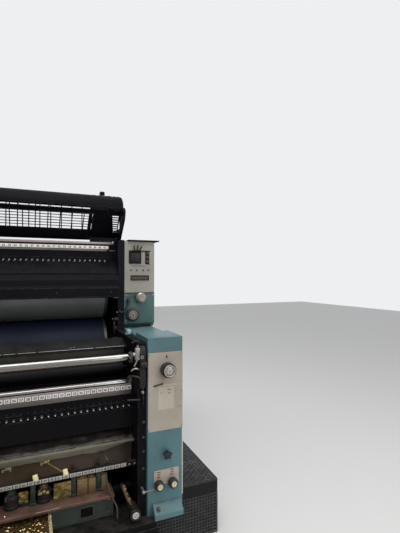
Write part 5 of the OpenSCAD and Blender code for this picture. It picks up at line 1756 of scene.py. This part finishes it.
def makeRollerLinks():
    soften((("roller_brackets", "rollerEndBrackets", "oilyBlack", 0.003),))
    steel, dark = bmesh.new(), bmesh.new()
    y = -1.4675
    addTube(dark, bend(((0.718, y + 0.014, 1.236), (0.707, y, 1.246), (0.688, y - 0.002, 1.248),
                        (0.674, y, 1.24))), 0.0045, 8)
    addBlock(steel, (0.69, y - 0.006, 1.146), (0.716, y + 0.012, 1.212), 0.004, 3)
    addTurned(steel, ((0.0, 0.0), (0.009, 0.0), (0.011, 0.002), (0.011, 0.014), (0.0, 0.016)),
              toLeft(0.692, y + 0.003, 1.178), 18)
    addTube(steel, ((0.7, y - 0.008, 1.15), (0.69, y - 0.01, 1.132), (0.684, y - 0.008, 1.118)),
            0.004, 8)
    addTube(steel, ((0.703, y, 1.21), (0.704, y, 1.226)), 0.006, 10)
    addTurned(steel, ((0.0045, 0.0), (0.009, 0.0), (0.009, 0.004), (0.0045, 0.004)),
              toFront(0.724, y - 0.013, 1.163), 20, closed=True)
    addTurned(dark, ((0.0, 0.0), (0.015, 0.0), (0.017, 0.003), (0.017, 0.03), (0.012, 0.034),
                     (0.0, 0.034)), toRight(0.7195, y - 0.004, 1.12), 24)
    addTube(steel, bend(((0.714, y + 0.006, 1.094), (0.702, y - 0.003, 1.103),
                         (0.684, y - 0.004, 1.104), (0.67, y, 1.094))), 0.0045, 8)
    addTube(dark, bend(((0.662, y + 0.002, 1.067), (0.69, y - 0.004, 1.064),
                        (0.711, y - 0.006, 1.055),
                        (0.724, y - 0.006, 1.024), (0.732, y - 0.004, 0.99))), 0.005, 8)
    addTurned(steel, ((0.0, -0.01), (0.006, -0.008), (0.01, 0.0), (0.006, 0.008), (0.0, 0.01)),
              toFront(0.731, y - 0.004, 0.976), 16)
    addTube(dark, ((0.657, y + 0.03, 0.933), (0.722, y + 0.014, 0.933)), 0.0048, 10)
    addTube(dark, ((0.735, y - 0.004, 0.968), (0.738, y + 0.008, 0.905)), 0.003, 8)
    makePiece("rollerLinksBright", steel, "satinSteel", mirror=True)
    makePiece("rollerLinksDark", dark, "oilyBlack", mirror=True)
    inner, bright = bmesh.new(), bmesh.new()   # upper linkage on the inner side, by the cylinders
    for y, z, r in ((-0.905, 1.245, 0.02), (-0.905, 1.175, 0.014), (-0.925, 1.305, 0.016)):
        addTurned(inner, ((0.0, 0.0), (r, 0.0), (r, 0.02), (r * 0.7, 0.026), (0.0, 0.026)),
                  toLeft(frameIn, y, z), 24)
    addTube(inner, bend(((0.7, -0.905, 1.305), (0.69, -0.925, 1.28), (0.69, -0.925, 1.225),
                         (0.7, -0.905, 1.18))), 0.006, 8)
    addTube(bright, ((0.705, -0.93, 1.352), (0.764, -0.955, 1.354)), 0.0035, 8)
    addTube(bright, ((0.683, -0.93, 1.449), (0.722, -0.93, 1.449)), 0.004, 8)
    addBlock(bright, (0.686, -0.92, 1.262), (0.694, -0.905, 1.29), 0.002)
    addTurned(bright, ((0.0, 0.0), (0.006, 0.0), (0.006, 0.005), (0.0, 0.006)),
              toLeft(0.686, -0.905, 1.305), 14)
    makePiece("cylinderLinksDark", inner, "oilyBlack", mirror=True)
    makePiece("cylinderLinksBright", bright, "satinSteel", mirror=True)


makeCurledSheet()
makeRegisterBar()
makeLayParts()
makeLedge()
makeTread()
makeShaftEnds()
makeRollerLinks()
print("front table ready")


# wheel, knobs and lever

knobSet = {   # node: names, body, rim ribs, share of the radius, style and finish of the face
    "top_wheel": ("wheelBody", "wheelFace", "wheel", 36, 0.8, "wheel", "dialSilver"),
    "left_knob": ("leftKnobBody", "leftKnobFace", "setting_knob_left", 22, 0.58, "plain",
                  "knobCream"),
    "right_knob": ("rightKnobBody", "rightKnobFace", "setting_knob_right", 22, 0.58, "plain",
                   "knobCream"),
    "upper_knob": ("upperKnobBody", "upperKnobFace", "housing_knob", 32, 0.66, "spokes",
                   "dialGrey"),
    "bright_knob": ("brightKnobBody", "brightKnobFace", "housing_bright_knob", 40, 0.7, "plain",
                    "dialGrey"),
}


def makeKnobs():
    for node, (name, faceName, body, ribs, share, style, finish) in knobSet.items():
        a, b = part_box(node)
        r, back = (b.x - a.x) / 2, b.y - 0.019
        deep = back - a.y
        place = toFront((a.x + b.x) / 2, back, (a.z + b.z) / 2)
        core, rim = r - 0.0016, r * share
        bm = bmesh.new()
        addTurned(bm, (
            (0.0, -0.0185), (0.008, -0.0185), (0.008, 0.0003), (r * 0.6, 0.0003), (r * 0.6, 0.0055),
            (core * 0.93, 0.006), (core, 0.009), (core, deep - 0.013), (core * 0.965, deep - 0.007),
            (rim + 0.0025, deep - 0.0035), (rim + 0.001, deep - 0.0045), (0.0, deep - 0.0045),
        ), place, 56)
        rib = blockPart((-0.003, -0.0012, 0.012), (0.0014, 0.0012, deep - 0.014), 0.0005, 1)
        addRing(bm, "knobBlack", rib, ribs, core, place)
        makePiece(name, bm, "brightKnurl" if node == "bright_knob" else "knobBlack", body, (node,))
        face, marks = bmesh.new(), bmesh.new()
        front = place @ at(0, 0, deep - 0.0045)
        if style == "plain":
            addTurned(face, ((0.0, -0.001), (rim, -0.001), (rim, 0.002), (rim - 0.0015, 0.004),
                             (rim * 0.6, 0.0044), (rim * 0.55, 0.0036), (0.0, 0.0036)), front, 40)
            addBlock(marks, (-0.001, rim * 0.25, 0.0036), (0.001, rim * 0.8, 0.0047), matrix=front)
        else:
            arms, dot = (4, rim * 0.1) if style == "wheel" else (5, rim * 0.21)
            addTurned(face, ((rim * 0.8, -0.001), (rim, -0.001), (rim, 0.003), (rim * 0.97, 0.0042),
                             (rim * 0.83, 0.0042), (rim * 0.8, 0.003)), front, 48, closed=True)
            addTurned(face, ((0.0, -0.001), (rim * 0.7, -0.001), (rim * 0.7, 0.0012),
                             (rim * 0.64, 0.002), (0.0, 0.002)), front, 40)
            arm = blockPart((-rim * 0.24, -0.0016, 0.0015), (rim * 0.22, 0.0016, 0.0036), 0.0006)
            addRing(face, "dialSilver", arm, arms, rim * 0.44,
                    front @ Matrix.Rotation(0.35, 4, "Z"))
            addTurned(face, ((0.0, 0.001), (rim * 0.22, 0.001), (rim * 0.2, 0.004), (0.0, 0.0044)),
                      front, 20)
            addTurned(marks, ((0.0, 0.004), (dot, 0.004), (dot * 0.8, 0.0052), (0.0, 0.0052)),
                      front, 14)
            gap = blockPart((-rim * 0.05, -rim * 0.1, 0.0018), (rim * 0.05, rim * 0.1, 0.0024))
            addRing(marks, "markBlack", gap, 8, rim * 0.56, front)
        makePiece(faceName, face, finish, body)
        makePiece(faceName.replace("Face", "Marks"), marks, "markBlack", body)


starSet = {"lobes": 5, "radius": 0.024, "depth": 0.024}


def makeStar():
    x, z = columnIn + 0.105, plinthTop + 0.318
    place = toFront(x, faceY, z)
    outline = []
    for t in circle(60):
        r = starSet["radius"] * (0.84 + 0.16 * math.cos(starSet["lobes"] * t))
        outline.append((r * math.cos(t + math.radians(18)), r * math.sin(t + math.radians(18))))
    bm = bmesh.new()
    addPlate(bm, outline, starSet["depth"] - 0.003, place @ at(0, 0, 0.0145), 0.003, 3)
    addTurned(bm, ((0.0, -0.0185), (0.008, -0.0185), (0.008, 0.0003), (0.0105, 0.0003),
                   (0.0095, 0.015), (0.0, 0.015)), place, 24)
    addTurned(bm, ((0.0, 0.0345), (0.01, 0.0345), (0.008, 0.0375), (0.0, 0.038)), place, 20)
    makePiece("starGrip", bm, "starBlack", "clamp_knob", ("star_knob",))


plateSet = {
    "box": (0.794, 0.935, 0.47, 0.548), "marks": ((0.822, 0.534), (0.898, 0.538)),
    "strokes": ((-0.012, 0.02), (-0.009, 0.015), (-0.012, 0.018)), "lineStep": 0.013,
}


def makeKnobPlate():
    x0, x1, z0, z1 = plateSet["box"]
    bm = bmesh.new()
    addPlate(bm, roundedOutline(x0, x1, z0, z1, 0.002), 0.0012, toFront(0, faceY, 0), 0.0004)
    makePiece("knobLabelPlate", bm, "beigePaint")
    bm = bmesh.new()
    for x, z in plateSet["marks"]:
        for k, (dx, w) in enumerate(plateSet["strokes"]):
            z0 = z - plateSet["lineStep"] * k
            frontPlate(bm, x + dx, x + dx + w, z0, z0 + 0.0055, faceY - 0.0012, 0.0004)
    makePiece("knobPlateMarks", bm, "markRed")
    bm = bmesh.new()
    for x in (x0 + 0.005, x1 - 0.005):
        addTurned(bm, ((0.0, 0.0), (0.0028, 0.0), (0.0028, 0.001), (0.0, 0.0016)),
                  toFront(x, faceY - 0.0012, z1 - 0.006), 12)
    makePiece("knobPlateRivets", bm, "satinSteel")
    bm = bmesh.new()
    y, z = -1.5015, 0.467
    addTube(bm, ((0.73, y, z), (0.783, y, z + 0.001)), 0.0028, 10)
    addTurned(bm, ((0.0, -0.01), (0.007, -0.008), (0.009, 0.0), (0.007, 0.008), (0.0, 0.01)),
              toRight(0.73, y, z), 16)
    addTube(bm, ((0.732, y, z), (0.732, low("operator_side_frame").y + 0.002, z)), 0.006, 12)
    makePiece("indexRod", bm, "greySteel")


def makeLever():
    x, z = columnIn + 0.02, low("control_box").z - 0.051
    bm = bmesh.new()
    place = toFront(x, housingY, z)
    addTurned(bm, ((0.0, -0.0185), (0.008, -0.0185), (0.008, 0.0003), (0.013, 0.0003),
                   (0.013, 0.02), (0.01, 0.026), (0.0, 0.0265)), place, 32)
    y = housingY - 0.018
    tip = (x - 0.06, z - 0.066)
    addTube(bm, ((x, y, z), (x - 0.006, y - 0.003, z - 0.028)), 0.0075, 10)
    addTube(bm, bend(((x, y, z), (x - 0.01, y - 0.003, z - 0.036),
                      (x - 0.029, y - 0.003, z - 0.065),
                      (x - 0.047, y, z - 0.074), (tip[0], y, tip[1]))), 0.0056, 10)
    addTurned(bm, ((0.0, -0.0088), (0.0062, -0.0062), (0.0088, 0.0), (0.0062, 0.0062),
                   (0.0, 0.0088)), at(tip[0], y, tip[1]), 20)
    makePiece("bentLever", bm, "leverTeal", "lever", ("housing_lever",))
    makeBlocks("frameTopBrackets", "paleTeal", (   # on top of the side frames
        ((0.728, -1.14, 1.232), (0.751, -1.085, 1.262), 0.006, 3),
        ((0.722, -1.13, lowTop - 0.001), (0.753, -1.09, 1.236), 0.002),
    ))


makeKnobs()
makeStar()
makeKnobPlate()
makeLever()
print("controls ready")


# side steps and the rear

stepSet = {
    "lozenge": (0.013, 0.0042), "pitch": 0.042, "columns": 7, "proud": 0.0016,
    "mesh": 0.019, "bar": 0.0058, "meshDepth": 0.004,
}


def lozengePart(turn):
    long, wide = stepSet["lozenge"]
    part = bmesh.new()
    base = [part.verts.new(v) for v in ((-long, 0, 0), (0, -wide, 0), (long, 0, 0), (0, wide, 0))]
    top = [part.verts.new((x * 0.7, y * 0.5, stepSet["proud"]))
           for x, y in ((-long, 0), (0, -wide), (long, 0), (0, wide))]
    joinRings(part, [base, top])
    bmesh.ops.transform(part, matrix=Matrix.Rotation(turn, 4, "Z"), verts=part.verts)
    return part


def makeSteps():
    soften((
        ("operator_step", "operatorStepDeck", "stepBlack", 0.002),
        ("drive_step", "driveStepDeck", "stepBlack", 0.002),
    ))
    a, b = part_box("operator_step")
    x0, z = columnOut + 0.014, b.z - 0.0004
    pitch = stepSet["pitch"]
    rows, half = int((b.y - a.y - 0.05) / pitch), pitch / 2
    bm = bmesh.new()
    for turn, dx, dy in ((45, 0.0, 0.0), (-45, 0.0, half), (-45, half, 0.0), (45, half, half)):
        addRows(bm, "deckMetal", lozengePart(math.radians(turn)), stepSet["columns"],
                (x0 + dx, a.y + 0.03 + dy, z), (pitch, 0.0, 0.0), rows, (0.0, pitch, 0.0))
    addBlock(bm, (columnOut + 0.0055, a.y + 0.004, z - 0.0015),
             (b.x - 0.003, b.y - 0.004, z + 0.0001), 0.0004)
    makePiece("stepDeckPattern", bm, "deckMetal", mirror=True)
    inset = 0.012
    baseTop = b.z - 0.07
    pitch, bar, deep = stepSet["mesh"], stepSet["bar"], stepSet["meshDepth"]
    bm = bmesh.new()
    frontY, rearY, outX = a.y + inset, b.y - inset, b.x - inset
    x1 = high("plinth").x + 0.004
    across, along = (pitch, 0.0, 0.0), (0.0, pitch, 0.0)
    for (xa, ya), (xb, yb), step in (   # front, back and outer side
        ((x1, frontY - deep), (outX, frontY), across), ((x1, rearY), (outX, rearY + deep), across),
        ((outX, frontY), (outX + deep, rearY), along),
    ):
        if step is across:
            upright = blockPart((-bar / 2, ya, 0.004), (bar / 2, yb, baseTop))
            length, first = xb - xa, (xa + pitch / 2, 0.0, 0.0)
        else:
            upright = blockPart((xa, -bar / 2, 0.004), (xb, bar / 2, baseTop))
            length, first = yb - ya, (0.0, ya + pitch / 2, 0.0)
        addRows(bm, "stepBlack", upright, int(length / pitch), first, step)
        level = blockPart((xa, ya, -bar / 2), (xb, yb, bar / 2))
        addRows(bm, "stepBlack", level, int(baseTop / pitch), (0.0, 0.0, pitch / 2 + 0.002),
                (0.0, 0.0, pitch))
    for y in (frontY - 0.005, (frontY + rearY) / 2, rearY + 0.001):
        addBlock(bm, (outX - 0.002, y, 0.0), (outX + 0.007, y + 0.012, baseTop), 0.001)
    addBlock(bm, (high("plinth").x, frontY - 0.006, 0.0), (outX + 0.006, frontY, 0.012), 0.001)
    makePiece("stepLattice", bm, "latticePaint", mirror=True)


rearSet = {"planks": 9, "plankGap": 0.004}


def makeRear():
    soften((
        ("tower_back_panel", "towerRearPanel", "tealPaint", 0.003),
        ("tower_top_cover", "towerTopPlate", "blackPaint", 0.003),
        ("delivery_cover", "deliveryTopCover", "blackPaint", 0.004),
    ))
    back = high("tower_back_panel").y
    bm, screws = bmesh.new(), bmesh.new()
    for x0, x1 in ((-0.7, -0.245), (-0.235, 0.235), (0.245, 0.7)):
        addPlate(bm, roundedOutline(-x1, -x0, 1.262, 1.795, 0.018), 0.004, toBack(back), 0.0015)
        spots = [(x, back + 0.004, z) for x in (x0 + 0.025, x1 - 0.025) for z in (1.285, 1.77)]
        addSpots(screws, "satinSteel", screwPart(0.0055, 0.003), spots, facing=toBackTurn)
    makePiece("towerRearDoors", bm, "tealPaint")
    a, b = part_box("delivery_cover")
    bm = bmesh.new()
    for x0, x1 in ((-0.69, -0.01), (0.01, 0.69)):
        addPlate(bm, roundedOutline(x0, x1, a.y + 0.05, b.y - 0.45, 0.02), 0.004,
                 at(0, 0, b.z), 0.0015)
        addTube(bm, ((x0 + 0.3, b.y - 0.5, b.z + 0.003), (x0 + 0.3, b.y - 0.5, b.z + 0.03),
                     (x0 + 0.4, b.y - 0.5, b.z + 0.03), (x0 + 0.4, b.y - 0.5, b.z + 0.003)), 0.006,
                     10)
        spots = [(x, y, b.z + 0.004) for x in (x0 + 0.03, x1 - 0.03) for y in (a.y + 0.08,
                                                                               b.y - 0.48)]
        addSpots(screws, "satinSteel", screwPart(0.0055, 0.003), spots)
    makePiece("deliveryHatches", bm, "blackPaint")
    makePiece("rearScrews", screws, "satinSteel")
    a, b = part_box("pile_board")
    rows = []
    plank = (b.x - a.x) / rearSet["planks"]
    gap = rearSet["plankGap"] / 2
    for i in range(rearSet["planks"]):
        x = a.x + i * plank
        rows.append(((x + gap, a.y, a.z + 0.02), (x + plank - gap, b.y, b.z), 0.0015))
    for y in (a.y + 0.04, (a.y + b.y) / 2 - 0.04, b.y - 0.12):
        rows.append(((a.x + 0.01, y, a.z), (b.x - 0.01, y + 0.08, a.z + 0.0205), 0.0015))
    makeBlocks("pileBoardPlanks", "boardWood", rows, mirror=False, stands=("pile_board",))
    makeBlocks("pileRails", "satinSteel", [   # they carry the pile board
        ((0.688, y, plinthTop), (0.7, y + 0.03, a.z + 0.8), 0.002)
        for y in (b.y - 0.05, a.y + 0.1)
    ])


makeSteps()
makeRear()
print("steps and rear ready")
